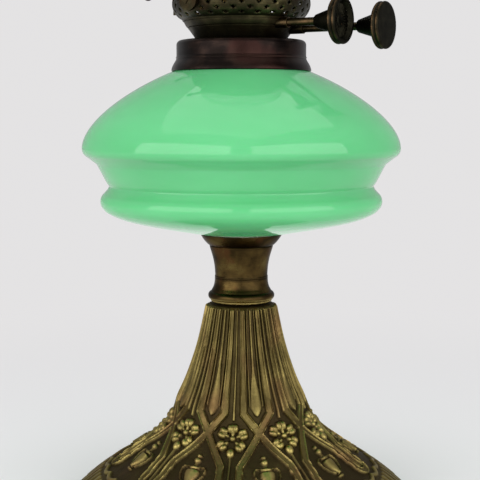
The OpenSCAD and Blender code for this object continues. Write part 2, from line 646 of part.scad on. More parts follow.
module gallery_legs() {
    color(old_brass) {
        for (s = [-1, 1]) translate([0, s * guide_y, plate_z + plate_t + 1])
            cylinder(d = guide_d, h = gallery_z - plate_z - plate_t - 1);
        // the lifting leg hangs from the gallery's floor by a bent strip
        translate([leg_x - 0.8, -2, leg_foot_z + foot_pad_t])
            cube([1.6, 4, gallery_z - leg_foot_z - foot_pad_t]);
        translate([leg_x - 2.2, -2, leg_foot_z]) cube([4.4, 4, foot_pad_t]);
        translate([leg_x - 6, -2, gallery_z - 0.8]) cube([6, 4, 0.8]);
    }
}
dome_t = 0.6;
module flame_dome() {
    function half_oval(r, h, n) = [for (i = [0:n]) [r * cos(90 * i / n), gallery_z + h * sin(90 * i / n)]];
    outer = half_oval(dome_r, dome_h, 12);
    inner = half_oval(dome_r - dome_t, dome_h - dome_t, 12);
    flip = [for (i = [12:-1:0]) inner[i]];
    color(old_brass) difference() {
        turned(concat(outer, flip));
        for (s = [-1, 1]) translate([-slot_l / 2, s * wick_y - slot_w / 2, gallery_z + 10])
            cube([slot_l, slot_w, dome_h]);
    }
}
chimney_z = gallery_z + gallery_t + gap;
module chimney() {
    side = concat(
        [[chimney_r, chimney_z], [chimney_r, chimney_z + 14]],
        curve([[chimney_r, chimney_z + 16], [chimney_r + 1, chimney_z + 30],
               [chimney_bulge_r, chimney_z + 28], [chimney_bulge_r, chimney_z + 48]], 8),
        curve([[chimney_bulge_r, chimney_z + 48], [chimney_bulge_r, chimney_z + 76],
               [chimney_top_r + 6, chimney_z + 90], [chimney_top_r + 3, chimney_z + 130]], 10),
        [[chimney_top_r, chimney_z + chimney_h]]);
    inner = [for (i = [len(side) - 1:-1:0]) side[i] - [chimney_t, 0]];
    color(clear_glass) turned(concat(side, inner));
}

// ---- gallery lever ----
pin_d = 1.8;
module lever_bracket() {
    color(dark_brass) difference() {
        union() {
            for (s = [-1, 1]) translate([-lever_x - 2, s * 1.9 - 0.6, lever_z - 2.5]) cube([7, 1.2, 5]);
            translate([-basket_r - 1.2, -4.6, lever_z - 2.5]) cube([4, 3.3, 5]);
            translate([-basket_r - 1.2, 1.3, lever_z - 2.5]) cube([4, 3.3, 5]);
        }
        cylinder(r = basket_r + 0.05, h = 2 * lever_z);
        along_y(-lever_x, -6, lever_z) cylinder(d = pin_d, h = 12);
    }
}
module lever_pin() { color(old_brass) along_y(-lever_x, -3.2, lever_z) cylinder(d = pin_d, h = 6.4); }
bend_x = 2.4;                              // where the outer arm turns up
module gallery_lever() {
    color(dark_brass) {
        difference() {
            union() {
                along_y(-lever_x, -1, lever_z) cylinder(r = 2.3, h = 2);
                // inner arm, under the gallery's leg
                translate([-lever_x, 1, lever_z]) rotate([90, 0, 0]) linear_extrude(2)
                    polygon([[0, -1.6], [lever_in, -arm_drop - tip_r], [lever_in, -arm_drop + tip_r - 0.3],
                             [lever_in - 5, -arm_drop + tip_r - 0.3], [0, 1.6]]);
                along_y(leg_x, -1, tip_z) cylinder(r = tip_r, h = 2);
                // outer arm, bent up and out to the ball
                translate([-lever_x, 1, lever_z]) rotate([90, 0, 0]) linear_extrude(2)
                    polygon([[0, -1.6], [0, 1.6], [-bend_x + 1, ball_up + 0.9], [-lever_out, ball_up + 0.9],
                             [-lever_out, ball_up - 0.9], [-bend_x - 1, ball_up - 0.9], [-bend_x, 0]]);
            }
            along_y(-lever_x, -2, lever_z) cylinder(r = pin_d / 2 + fit, h = 4);
        }
        translate([-lever_x - lever_out, 0, lever_z + ball_up])
            rotate([0, 0, 90]) sphere(r = ball_r, $fn = 32);
    }
}

// ---- snuffer: sleeves round the wick tubes, and the lever that lifts them ----
sleeve_in = gap + tube_t + gap;            // from a wick to the inside of a sleeve
sleeve_t = 0.5;
sleeve_z = shaft_z + tip_r + gap;
sleeve_h = tube_top - 1 - sleeve_z;
crank_y = -wick_y - wick_t / 2 - sleeve_in - sleeve_t - 0.6;
module snuffer() {
    color(old_brass) difference() {
        union() {
            for (s = [-1, 1]) translate([-wick_w / 2 - sleeve_in - sleeve_t,
                    s * wick_y - wick_t / 2 - sleeve_in - sleeve_t, sleeve_z])
                cube([wick_w + 2 * (sleeve_in + sleeve_t), wick_t + 2 * (sleeve_in + sleeve_t), sleeve_h]);
            // end bridges, and the tab that rests on the crank
            for (s = [-1, 1])
                translate([s * (wick_w / 2 + sleeve_in + sleeve_t / 2) - sleeve_t / 2, -wick_y, sleeve_z])
                    cube([sleeve_t, 2 * wick_y, 3]);
            translate([tab_x - 3, crank_y - 3.6, sleeve_z]) cube([6, 4.4, 0.8]);
        }
        for (s = [-1, 1])
            translate([-wick_w / 2 - sleeve_in, s * wick_y - wick_t / 2 - sleeve_in, sleeve_z - 1])
                cube([wick_w + 2 * sleeve_in, wick_t + 2 * sleeve_in, sleeve_h + 2]);
    }
}
thumb_a = 150;                             // angle of the thumb lever
module snuffer_lever() {
    color(dark_brass) {
        // shaft with its hub outside the basket
        along_y(shaft_x, -basket_r - 1, shaft_z) cylinder(d = shaft_d, h = basket_r + crank_y);
        along_y(shaft_x, -basket_r - 2.4, shaft_z) cylinder(r = hub_r, h = 2);
        // crank under the snuffer's tab
        translate([shaft_x, crank_y - 1, shaft_z]) rotate([90, 0, 0]) linear_extrude(1.6)
            polygon([[0, -1.2], [crank_l, -0.9], [crank_l, 0.9], [0, 1.2]]);
        along_y(tab_x, crank_y - 2.6, shaft_z) cylinder(r = tip_r, h = 2.2);
        // thumb lever
        translate([shaft_x, -basket_r - 1.5, shaft_z]) rotate([90, 0, 0]) linear_extrude(1.4) rotate(thumb_a)
            polygon([[0, -1.8], [snuff_out, -1.2], [snuff_out, 1.2], [0, 1.8]]);
        translate([shaft_x + snuff_out * cos(thumb_a), -basket_r - 2.2, shaft_z + snuff_out * sin(thumb_a)])
            rotate([0, 0, 90]) sphere(r = ball_r, $fn = 32);
    }
}
module snuffer_bearing() {
    color(dark_brass) difference() {
        translate([shaft_x - 3, -17, plate_z + plate_t]) cube([6, 3, shaft_z + 3 - plate_z - plate_t]);
        along_y(shaft_x, -18, shaft_z) cylinder(r = shaft_d / 2 + fit, h = 5);
    }
}

// ---- winders and wicks ----
wheel_reach = wheel_x[2] + wheel_w / 2 + 0.5;
module spindle(reach) {
    turned([[0, post_x - 0.5], [pivot_d / 2, post_x - 0.5], [pivot_d / 2, wheel_reach],
            [spindle_d / 2, wheel_reach + 1], [spindle_d / 2, reach - knob_rim], [0, reach - knob_rim]]);
}
module wheels() {
    for (x = wheel_x) translate([0, 0, x - wheel_w / 2]) difference() {
        linear_extrude(wheel_w) polygon([for (i = [0:2 * teeth - 1])
            (i % 2 ? wheel_r - 0.7 : wheel_r) * [cos(180 * i / teeth), sin(180 * i / teeth)]]);
        translate([0, 0, -1]) cylinder(d = pivot_d, h = wheel_w + 2);
    }
}
// A knob: cone-shaped hub and two ridges round the edge; its face is dished, or plain and a little domed
ridge = 1;                                 // radius of a ridge, in section
module knob(reach, dished) {
    back = reach - knob_l;
    edge_back = reach - knob_rim;
    dish = reach - 2.4;
    face = dished ?
        [[knob_r - 2, reach], [knob_r - 2.6, reach - 1], [knob_r - 3.2, dish],
         [3, dish], [2.6, dish + 0.5]] :
        [[knob_r - 2, reach - 0.1], [knob_r * 0.6, reach], [knob_r * 0.3, reach + 0.1]];
    turned(concat(
        [[spindle_d / 2, back], [spindle_d / 2 + 0.7, back], [spindle_d / 2 + 1.2, back + 0.6],
         [0.57 * knob_r, edge_back]],
        arc(knob_r - ridge, edge_back + ridge, ridge, -100, 60, 6),
        arc(knob_r - ridge, reach - ridge, ridge, -60, 90, 6), face,
        [[0, dished ? dish + 0.7 : reach + 0.1], [0, edge_back], [spindle_d / 2, edge_back]]));
}
module winder_front_spindle() { color(dark_brass) along_x(0, -spindle_off, front_z) spindle(front_reach); }
module winder_front_wheels() { color(old_brass) along_x(0, -spindle_off, front_z) wheels(); }
module winder_front_knob() { color(dark_brass) along_x(0, -spindle_off, front_z) knob(front_reach, true); }
module winder_back_spindle() { color(dark_brass) along_x(0, spindle_off, back_z) spindle(back_reach); }
module winder_back_wheels() { color(old_brass) along_x(0, spindle_off, back_z) wheels(); }
module winder_back_knob() { color(dark_brass) along_x(0, spindle_off, back_z) knob(back_reach, false); }
module wick(s) {
    color(cotton) translate([-wick_w / 2, s * wick_y - wick_t / 2, wick_z]) cube([wick_w, wick_t, wick_l]);
}
module wick_front() { wick(-1); }
module wick_back() { wick(1); }

foot_pad();
foot_casting();
ballast_disc();
tie_rod();
tie_rod_washer();
tie_rod_nut();
neck_ring();
neck_cup();
font_cap();
font_cement();
font();
collar_cement();
collar();
burner_cup();
burner_floor();
wick_tube_front();
wick_tube_back();
spindle_bushes();
spindle_posts();
air_plate();
burner_basket();
gallery_guides();
lever_bracket();
lever_pin();
snuffer_bearing();
winder_front_spindle();
winder_front_wheels();
winder_front_knob();
winder_back_spindle();
winder_back_wheels();
winder_back_knob();
wick_front();
wick_back();
snuffer();
snuffer_lever();
gallery_lever();
gallery_ring();
gallery_prongs();
gallery_legs();
flame_dome();
chimney();
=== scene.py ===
"""Looks of the twin-wick oil table lamp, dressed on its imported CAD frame. Outlines are in millimetres."""
import json
import math

import bmesh
import bpy
import numpy as np
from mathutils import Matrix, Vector


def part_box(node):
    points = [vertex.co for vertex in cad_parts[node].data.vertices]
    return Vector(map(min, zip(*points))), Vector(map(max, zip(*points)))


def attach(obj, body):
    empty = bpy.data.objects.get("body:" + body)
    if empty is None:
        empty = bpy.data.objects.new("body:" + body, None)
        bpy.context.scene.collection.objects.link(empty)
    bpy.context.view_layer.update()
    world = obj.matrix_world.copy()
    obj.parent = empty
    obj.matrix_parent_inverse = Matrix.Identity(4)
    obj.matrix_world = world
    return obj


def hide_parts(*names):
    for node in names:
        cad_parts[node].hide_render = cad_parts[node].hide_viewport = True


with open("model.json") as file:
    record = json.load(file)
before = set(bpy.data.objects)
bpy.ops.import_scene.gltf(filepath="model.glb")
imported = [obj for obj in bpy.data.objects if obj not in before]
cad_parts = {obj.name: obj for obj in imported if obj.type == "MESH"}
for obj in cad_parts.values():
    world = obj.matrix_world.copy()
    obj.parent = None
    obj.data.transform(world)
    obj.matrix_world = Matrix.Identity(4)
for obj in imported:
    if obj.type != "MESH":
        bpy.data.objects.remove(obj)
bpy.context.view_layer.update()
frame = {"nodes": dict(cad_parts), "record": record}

MM = 0.001
SHARP = math.radians(38)     # edges that turn more than this are shaded sharp
SOFT_FROM = 25               # corners that turn less than this, in degrees, aren't rounded
SIDE_SHARE = 0.45            # most of a side that the rounding of its corner takes


# ---------------------------------------------------------------- outlines and meshes

def low(node):
    """Lowest corner of a CAD node."""
    return np.array(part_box(node)[0]) / MM


def high(node):
    """Highest corner of a CAD node."""
    return np.array(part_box(node)[1]) / MM


def bezier(points, steps):
    """Points along a cubic curve with these four control points."""
    t = np.linspace(0, 1, steps + 1)[:, None]
    a, b, c, d = (np.array(p, float) for p in points)
    return (1 - t) ** 3 * a + 3 * t * (1 - t) ** 2 * b + 3 * t * t * (1 - t) * c + t ** 3 * d


def arc(x, z, radius, start, end, steps):
    """Points along an arc round (x, z), between two angles in degrees."""
    a = np.radians(np.linspace(start, end, steps + 1))
    return np.column_stack([x + radius * np.cos(a), z + radius * np.sin(a)])


def outline(*parts):
    """One list of (radius, height) points from single points and stretches of points."""
    return np.vstack([np.atleast_2d(np.array(p, float)) for p in parts])


def softened(points, radius, steps=3):
    """A closed outline with each of its corners rounded by about radius."""
    made = []
    for before, corner, after in zip(np.roll(points, 1, 0), points, np.roll(points, -1, 0)):
        to_before, to_after = before - corner, after - corner
        lengths = np.linalg.norm(to_before), np.linalg.norm(to_after)
        if min(lengths) < 1e-6:
            continue
        turn = math.degrees(math.acos(np.clip(-to_before @ to_after / lengths[0] / lengths[1], -1, 1)))
        if turn < SOFT_FROM or corner[0] < 1e-6:
            made.append(corner)
            continue
        start = corner + to_before * min(radius / lengths[0], SIDE_SHARE)
        end = corner + to_after * min(radius / lengths[1], SIDE_SHARE)
        for t in np.linspace(0, 1, steps + 1):
            made.append((1 - t) ** 2 * start + 2 * t * (1 - t) * corner + t * t * end)
    return np.array(made)


def mesh_from(name, points, faces, wear_and_painted_light=None):
    """A mesh with outward faces from points in millimetres; the last argument is an attribute that the
    materials read, with wear and, on the neck's pieces, painted shade and painted highlight.
    """
    mesh = bpy.data.meshes.new(name)
    mesh.from_pydata((np.asarray(points) * MM).tolist(), [], faces)
    if wear_and_painted_light is not None:
        mesh.attributes.new("wear_and_painted_light", "FLOAT", "POINT").data.foreach_set("value", np.asarray(wear_and_painted_light, np.float32))
    work = bmesh.new()
    work.from_mesh(mesh)
    on_axis = [v for v in work.verts if v.co.xy.length < 1e-7]
    bmesh.ops.remove_doubles(work, verts=on_axis, dist=1e-6)
    bmesh.ops.delete(work, geom=[v for v in work.verts if not v.link_faces], context="VERTS")
    bmesh.ops.recalc_face_normals(work, faces=work.faces)
    work.to_mesh(mesh)
    work.free()
    mesh.shade_smooth()
    mesh.set_sharp_from_angle(angle=SHARP)
    return mesh


def ring_faces(rows, columns):
    """Quads between rings of points; the last ring joins the first."""
    i = np.arange(rows * columns).reshape(rows, columns)
    right, below = np.roll(i, -1, 1), np.roll(i, -1, 0)
    return np.stack([i, right, np.roll(below, -1, 1), below], -1).reshape(-1, 4).tolist()


def spun_at(points, turns):
    """Rings of points round the axis, at these turns, from a closed outline."""
    r, z = points[:, :1], points[:, 1:]
    return np.stack([r * np.cos(turns), r * np.sin(turns), z + 0 * turns], -1)


def spun(points, columns):
    """Rings all the way round the axis, from a closed outline."""
    return spun_at(points, np.linspace(0, 2 * np.pi, columns, endpoint=False))


def ring_mesh(name, rings, wear_and_painted_light=None):
    """A closed mesh through rings of points."""
    rows, columns = rings.shape[:2]
    return mesh_from(name, rings.reshape(-1, 3), ring_faces(rows, columns),
                     None if wear_and_painted_light is None else wear_and_painted_light.reshape(-1))


def along_x(rings, y, z):
    """Rings made round +Z laid along +X, through (y, z)."""
    return np.stack([rings[..., 2], y + rings[..., 0], z + rings[..., 1]], -1)


def piece(name, mesh, body, slot, material, *nodes):
    """An object on a CAD body that stands for these CAD nodes."""
    made = bpy.data.objects.new(name, mesh)
    bpy.context.scene.collection.objects.link(made)
    mesh.materials.append(material)
    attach(made, body)
    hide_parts(*nodes)
    return made


def turned(name, points, body, slot, material, *nodes, columns=144, soft=0.25, worn_and_painted_light=None):
    """A lathe-turned piece; the last argument gives how rubbed it is at its (radius, height) points, and on
    the neck's pieces their painted shade and painted highlight.
    """
    points = softened(points, soft)
    rings = spun(points, columns)
    wear_and_painted_light = None
    if worn_and_painted_light is not None:
        wear_and_painted_light = worn_and_painted_light(points[:, 0], points[:, 1])[:, None] + np.zeros((1, columns))
    return piece(name, ring_mesh(name, rings, wear_and_painted_light), body, slot, material, *nodes)


def joined(name, parts):
    """One mesh from several closed sets of rings of the same size."""
    rows, columns = parts[0].shape[:2]
    one = ring_faces(rows, columns)
    faces = [[i + n * rows * columns for i in face] for n in range(len(parts)) for face in one]
    return mesh_from(name, np.vstack([p.reshape(-1, 3) for p in parts]), faces)


def centre(node):
    """Middle of a CAD node's box."""
    return (low(node) + high(node)) / 2


def near_height(value, z, width):
    """1 at a height, falling smoothly to 0 at about twice the width from it."""
    return np.exp(-((z - value) / width) ** 2)


# ---------------------------------------------------------------- materials

class Shader:
    """A material with one Principled shader, and short ways to add nodes to it."""

    def __init__(self, name, **uniform):
        self.material = bpy.data.materials.new(name)
        self.material.use_nodes = True
        self.tree = self.material.node_tree
        self.shader = self.tree.nodes["Principled BSDF"]
        for socket, value in uniform.items():
            self.shader.inputs[socket.replace("_", " ")].default_value = value
        self.place = self.add("ShaderNodeTexCoord").outputs["Object"]

    def add(self, kind, inputs=(), **settings):
        """A node of this kind, with these inputs and settings."""
        node = self.tree.nodes.new(kind)
        for key, value in settings.items():
            setattr(node, key, value)
        for key, value in dict(inputs).items():
            self.feed(node.inputs[key], value)
        return node

    def feed(self, socket, value):
        """Links a node's output to a socket, or sets the socket to a number."""
        if isinstance(value, bpy.types.NodeSocket):
            self.tree.links.new(value, socket)
        else:
            socket.default_value = value

    def into(self, socket, value):
        """Feeds one of the Principled shader's own sockets."""
        self.feed(self.shader.inputs[socket], value)

    def stretched(self, scale):
        """The object's coordinates, scaled by axis."""
        return self.add("ShaderNodeMapping", {"Vector": self.place, "Scale": scale}).outputs["Vector"]

    def noise(self, scale, detail=3.0, place=None):
        """Cloudy noise, finer the larger its scale."""
        inputs = {"Vector": place or self.place, "Scale": scale, "Detail": detail}
        return self.add("ShaderNodeTexNoise", inputs).outputs["Fac"]

    def wave(self, axis, scale):
        """Even stripes across an axis."""
        node = self.add("ShaderNodeTexWave", {"Vector": self.place, "Scale": scale}, bands_direction=axis)
        return node.outputs["Fac"]

    def value(self, name):
        """A mesh attribute."""
        return self.add("ShaderNodeAttribute", attribute_name=name).outputs["Fac"]

    def math(self, operation, a, b=0.0, clamp=False):
        node = self.add("ShaderNodeMath", operation=operation, use_clamp=clamp)
        self.feed(node.inputs[0], a)
        self.feed(node.inputs[1], b)
        return node.outputs[0]

    def ranged(self, value, start, end, to_start=0.0, to_end=1.0):
        """A value mapped from one range to another, and kept inside it."""
        inputs = {"Value": value, "From Min": start, "From Max": end, "To Min": to_start, "To Max": to_end}
        return self.add("ShaderNodeMapRange", inputs).outputs["Result"]

    def ramp(self, value, *stops):
        """Colours along a value: stops are (position, (red, green, blue))."""
        node = self.add("ShaderNodeValToRGB", {"Fac": value})
        points = node.color_ramp.elements
        while len(points) < len(stops):
            points.new(0.5)
        for point, (position, colour) in zip(points, stops):
            point.position, point.color = position, (*colour, 1)
        return node.outputs["Color"]

    def mix(self, share, a, b):
        """Colour a, with this share of colour b."""
        node = self.add("ShaderNodeMix", data_type="RGBA")
        for index, value in ((0, share), (6, a), (7, b)):
            self.feed(node.inputs[index], (*value, 1) if isinstance(value, tuple) else value)
        return node.outputs[2]

    def bump(self, height, distance, strength=1.0):
        """Fine relief; distance is in millimetres."""
        inputs = {"Height": height, "Distance": distance * MM, "Strength": strength}
        node = self.add("ShaderNodeBump", inputs)
        self.into("Normal", node.outputs["Normal"])


DULL_EDGE = (0.60, 0.60, 0.60, 1.0)     # shine of patinated brass where it turns away
CLEAN_EDGE = (1.0, 1.0, 1.0, 1.0)


def cast_brass():
    """Old cast brass: brown-black in the recesses, rubbed to olive gold where it stands out."""
    s = Shader("cast_brass", Specular_Tint=DULL_EDGE)
    blotches, grain = s.noise(90, 5), s.noise(900, 2)
    worn_and_painted_light = s.math("ADD", s.value("wear_and_painted_light"), s.ranged(blotches, 0.3, 0.7, -0.14, 0.14), clamp=True)
    olive = s.ramp(worn_and_painted_light, (0.0, (0.040, 0.028, 0.010)), (0.35, (0.082, 0.060, 0.021)),
                   (0.65, (0.160, 0.122, 0.041)), (1.0, (0.375, 0.298, 0.096)))
    red = s.ramp(worn_and_painted_light, (0.0, (0.040, 0.026, 0.012)), (0.6, (0.155, 0.086, 0.036)),
                 (1.0, (0.280, 0.175, 0.074)))
    streaks = s.ranged(s.noise(60, 4, s.stretched((1, 1, 0.45))), 0.50, 0.68, 0.0, 0.7)
    s.into("Base Color", s.mix(streaks, olive, red))
    s.into("Metallic", s.ranged(worn_and_painted_light, 0.1, 0.5, 0.9, 1.0))
    s.into("Roughness", s.math("ADD", s.ranged(worn_and_painted_light, 0.1, 0.9, 0.60, 0.36),
                               s.ranged(grain, 0.3, 0.7, -0.06, 0.06)))
    s.bump(s.math("ADD", grain, s.math("MULTIPLY", s.noise(320, 3), 1.5)), 0.12)
    return s.material


def aged_brass(name, dark, middle, light, roughness, spots=0.5, scale=110, tint=None, rubbed_and_painted_highlight=None,
               edge=CLEAN_EDGE):
    """Turned or spun brass under old lacquer: fine turning lines, cloudy patina and dark spots.

    dark, middle and light are the patina's colours, tint a stain in patches, rubbed the bright colour laid
    where the mesh attribute passes one half, which on the neck ring's bead is a painted highlight.
    """
    s = Shader(name, Metallic=1.0, Specular_Tint=edge)
    clouds = s.noise(scale, 4)
    lines = s.noise(9, 2, s.stretched((20, 20, 900)))
    tone = s.math("ADD", s.ranged(clouds, 0.32, 0.68), s.ranged(lines, 0.3, 0.7, -0.12, 0.12), clamp=True)
    # The mesh attribute lightens or darkens the patina: wear, and on the neck's pieces painted shade in
    # seams, groove and under the font.
    tone = s.math("ADD", tone, s.value("wear_and_painted_light"), clamp=True)
    colour = s.ramp(tone, (0.0, dark), (0.55, middle), (1.0, light))
    if tint:
        colour = s.mix(s.ranged(s.noise(scale * 0.7, 3), 0.52, 0.64, 0.0, 0.8), colour, tint)
    # Painted highlight: the bright colour where the mesh attribute passes one half, on the neck ring's bead.
    if rubbed_and_painted_highlight:
        bare_and_painted_highlight = s.math("MULTIPLY", s.ranged(s.value("wear_and_painted_light"), 0.5, 1.0), s.ranged(clouds, 0.35, 0.6, 0.6, 1.0))
        colour = s.mix(bare_and_painted_highlight, colour, rubbed_and_painted_highlight)
    spotted = s.ranged(s.noise(scale * 2.6, 2), 0.66, 0.74, 0.0, spots)
    s.into("Base Color", s.mix(spotted, colour, tuple(c * 0.25 for c in dark)))
    s.into("Roughness", s.math("ADD", s.ranged(clouds, 0.3, 0.7, roughness + 0.08, roughness - 0.06),
                               s.math("MULTIPLY", spotted, 0.3)))
    s.bump(s.math("ADD", lines, clouds), 0.02)
    return s.material


def knob_brass():
    """Handled knob: almost black patina, rubbed to copper along its ridges."""
    s = Shader("knob_brass", Metallic=1.0, Specular_Tint=DULL_EDGE)
    clouds = s.noise(260, 4)
    worn_and_painted_light = s.math("MULTIPLY", s.value("wear_and_painted_light"), s.ranged(clouds, 0.42, 0.62, 0.2, 1.0), clamp=True)
    dark = s.ramp(clouds, (0.3, (0.009, 0.0085, 0.0055)), (0.7, (0.021, 0.019, 0.012)))
    s.into("Base Color", s.mix(worn_and_painted_light, dark, (0.092, 0.056, 0.027)))
    s.into("Roughness", s.ranged(worn_and_painted_light, 0.0, 1.0, 0.46, 0.32))
    s.bump(s.noise(1400, 3), 0.03)
    return s.material


PAINTED_GLOW_HEIGHTS = (0.146, 0.166)     # metres: a painted glow, in place of light from below, fades out of the thin lower glass between these heights


def opal_glass():
    """Opaque green glass: even colour with faint milky drifts, a fire-polished face and a painted glow that
    is strongest low down.
    """
    s = Shader("opal_glass", Roughness=0.06, IOR=1.45, Subsurface_Weight=0.3,
               Subsurface_Radius=(0.35, 1.0, 0.5), Subsurface_Scale=0.012,
               Emission_Color=(0.10, 0.50, 0.20, 1.0))
    drift = s.noise(16, 3, s.stretched((1, 1, 2.4)))
    s.into("Base Color", s.ramp(drift, (0.3, (0.096, 0.436, 0.172)), (0.7, (0.118, 0.486, 0.204))))
    height = s.add("ShaderNodeSeparateXYZ", {"Vector": s.place}).outputs["Z"]
    # Painted glow: the glass emits its own green, strongly on the font's lower part and faintly above.
    s.into("Emission Strength", s.ranged(height, *PAINTED_GLOW_HEIGHTS, 0.30, 0.03))
    s.bump(s.noise(28, 1), 0.05, 0.5)
    return s.material


def clear_glass():
    """Blown clear glass with a faint grey-green cast and slow ripples."""
    s = Shader("clear_glass", Roughness=0.0, IOR=1.46, Transmission_Weight=1.0)
    s.into("Base Color", s.ramp(s.noise(14, 2), (0.3, (0.94, 0.975, 0.965)), (0.7, (0.97, 0.99, 0.985))))
    s.bump(s.noise(22, 1, s.stretched((1, 1, 0.4))), 0.08, 0.4)
    return s.material


def iron():
    """Rough grey iron with a little rust."""
    s = Shader("iron", Metallic=0.7)
    rust = s.ranged(s.noise(70, 5), 0.52, 0.68)
    s.into("Base Color", s.mix(rust, (0.075, 0.076, 0.080), (0.16, 0.065, 0.030)))
    s.into("Roughness", s.ranged(rust, 0, 1, 0.55, 0.85))
    s.bump(s.noise(700, 4), 0.15)
    return s.material


def cement():
    """White setting cement, slightly gritty and yellowed."""
    s = Shader("cement", Roughness=0.85)
    s.into("Base Color", s.ramp(s.noise(160, 5), (0.35, (0.55, 0.50, 0.40)), (0.65, (0.70, 0.66, 0.57))))
    s.bump(s.noise(1800, 3), 0.08)
    return s.material


def baize():
    """Green felted cloth."""
    s = Shader("baize", Roughness=0.95, Sheen_Weight=0.4)
    fibres = s.noise(2600, 4)
    s.into("Base Color", s.ramp(fibres, (0.3, (0.012, 0.040, 0.020)), (0.7, (0.028, 0.085, 0.042))))
    s.bump(s.math("ADD", fibres, s.noise(500, 2)), 0.25)
    return s.material


def cotton():
    """Woven cotton wick, scorched at its top."""
    s = Shader("cotton", Roughness=0.9, Sheen_Weight=0.25)
    weave = s.math("MULTIPLY", s.wave("X", 560), s.wave("Z", 420))
    cloth = s.ramp(s.math("ADD", weave, s.noise(1500, 3)),
                   (0.4, (0.42, 0.36, 0.25)), (1.3 / 1.5, (0.74, 0.68, 0.54)))
    s.into("Base Color", s.mix(s.value("wear_and_painted_light"), cloth, (0.012, 0.010, 0.009)))
    s.bump(weave, 0.2)
    return s.material


CAST = cast_brass()
# The turned brass's bright rubbed colour is the painted highlight on the neck ring's bead.
TURNED = aged_brass("turned_brass", (0.030, 0.019, 0.007), (0.070, 0.044, 0.014), (0.118, 0.084, 0.026),
                    roughness=0.29, tint=(0.072, 0.032, 0.012), rubbed_and_painted_highlight=(0.70, 0.54, 0.20), edge=DULL_EDGE)
COLLAR = aged_brass("collar_brass", (0.008, 0.006, 0.005), (0.013, 0.009, 0.008), (0.036, 0.022, 0.017),
                    roughness=0.34, spots=0.2, scale=70, tint=(0.027, 0.012, 0.010))
BURNER = aged_brass("burner_brass", (0.015, 0.013, 0.007), (0.034, 0.029, 0.014), (0.078, 0.066, 0.030),
                    roughness=0.44, scale=95, tint=(0.030, 0.018, 0.009))
BRIGHT = aged_brass("bright_brass", (0.180, 0.120, 0.045), (0.360, 0.255, 0.095), (0.520, 0.390, 0.160),
                    roughness=0.28, spots=0.3)
SPINDLE = aged_brass("spindle_brass", (0.018, 0.015, 0.008), (0.038, 0.028, 0.013), (0.088, 0.054, 0.026),
                     roughness=0.34, spots=0.4, tint=(0.110, 0.055, 0.026))
KNOB = knob_brass()
GREEN_GLASS = opal_glass()
CLEAR_GLASS = clear_glass()
IRON = iron()
CEMENT = cement()
BAIZE = baize()
COTTON = cotton()

FINISH = {
    "cast_brass": CAST, "turned_brass": TURNED, "collar_brass": COLLAR, "burner_brass": BURNER,
    "bright_brass": BRIGHT, "spindle_brass": SPINDLE, "knob_brass": KNOB, "opal_glass": GREEN_GLASS,
    "clear_glass": CLEAR_GLASS, "iron": IRON, "cement": CEMENT, "baize": BAIZE, "cotton": COTTON,
}


def dress_cad():
    """Every CAD node takes the finish of its material slot."""
    for part in frame["record"]["subparts"]:
        node = frame["nodes"][part["node"]]
        for place in node.material_slots:
            place.link = "OBJECT"
            place.material = FINISH[part["material_slot"]]


# ---------------------------------------------------------------- foot casting

BAYS = 9
BAY = 360 / BAYS
FLOWER_ANGLE = 14.7          # turn of a flower's axis from +X, in degrees
REEDS = 9                    # reeds of the border in each bay
RELIEF = 1.3                 # from the ground of the relief up to the outline
COLUMNS_PER_BAY = 72
ROWS = 310                   # rings of points along the outline
STEM_TOP_R, FLARE_R = 18.2, 33.6
SHOULDER = 1.9               # how far the rounded top of the stem stands back
FLARE_UP = 56                # height of the flare above the casting's underside
RIM_PAST_PAD = 1.5           # how far the rim stands out past the pad
SWELLS = ((84, 16, -0.55), (57, 7, 0.75), (41, 8, -0.7))     # height above the base, width, change of radius
SEAT_END, SEAT_FADE = 2.2, 1.6     # smooth top of the stem, and the length over which its ribs begin
BAND_HALF, BEAD_HALF = 2.1, 0.42   # half widths of a strap and of the bead along its edge
LOOP_R = 4.9                 # radius of a strap's end round a flower's stalk
CROSS_R = 38.2               # distance from the axis at which the straps cross


def foot_line():
    """The casting's outer line from the top down: radius, height and distance from the flare."""
    top, base = high("foot_casting")[2], low("foot_casting")[2]
    rim_r = high("foot_pad")[0] + RIM_PAST_PAD
    flare_z, rim_z = base + FLARE_UP, base + 3
    rate = math.log(FLARE_R / STEM_TOP_R) / (top - flare_z)
    z = np.linspace(top, flare_z, 400)     # finer than ROWS, because it is spaced out evenly below
    stem = np.column_stack([STEM_TOP_R * np.exp(rate * (top - z)), z])
    span, drop = rim_r - FLARE_R, flare_z - rim_z
    spread = bezier([(FLARE_R, flare_z), (FLARE_R + 0.13 * span, flare_z - 0.43 * drop),
                     (FLARE_R + 0.73 * span, flare_z - 0.65 * drop), (rim_r - 0.4, rim_z)], 600)
    stem[:, 0] -= SHOULDER * (1 - np.sqrt(1 - np.clip(1 - (top - z) / SHOULDER, 0, 1) ** 2))
    fine = np.vstack([stem[:-1], spread])
    for at, width, by in SWELLS:
        fine[:, 0] += by * np.exp(-((fine[:, 1] - base - at) / width) ** 2)
    s = np.concatenate([[0], np.cumsum(np.linalg.norm(np.diff(fine, axis=0), axis=1))])
    s -= s[len(stem) - 1]
    even = np.linspace(s[0], s[-1], ROWS)
    return np.interp(even, s, fine[:, 0]), np.interp(even, s, fine[:, 1]), even


def smooth(x):
    """An even step from 0 to 1."""
    x = np.clip(x, 0, 1)
    return x * x * (3 - 2 * x)


def ridge(distance, half, height, side=0.45):
    """A flat-topped ridge with sloping sides."""
    return height * smooth((half - distance) / side + 0.5)


def lump(distance, height):
    """A rounded lump; distance is 1 at its edge."""
    return height * np.sqrt(np.clip(1 - distance ** 2, 0, 1))


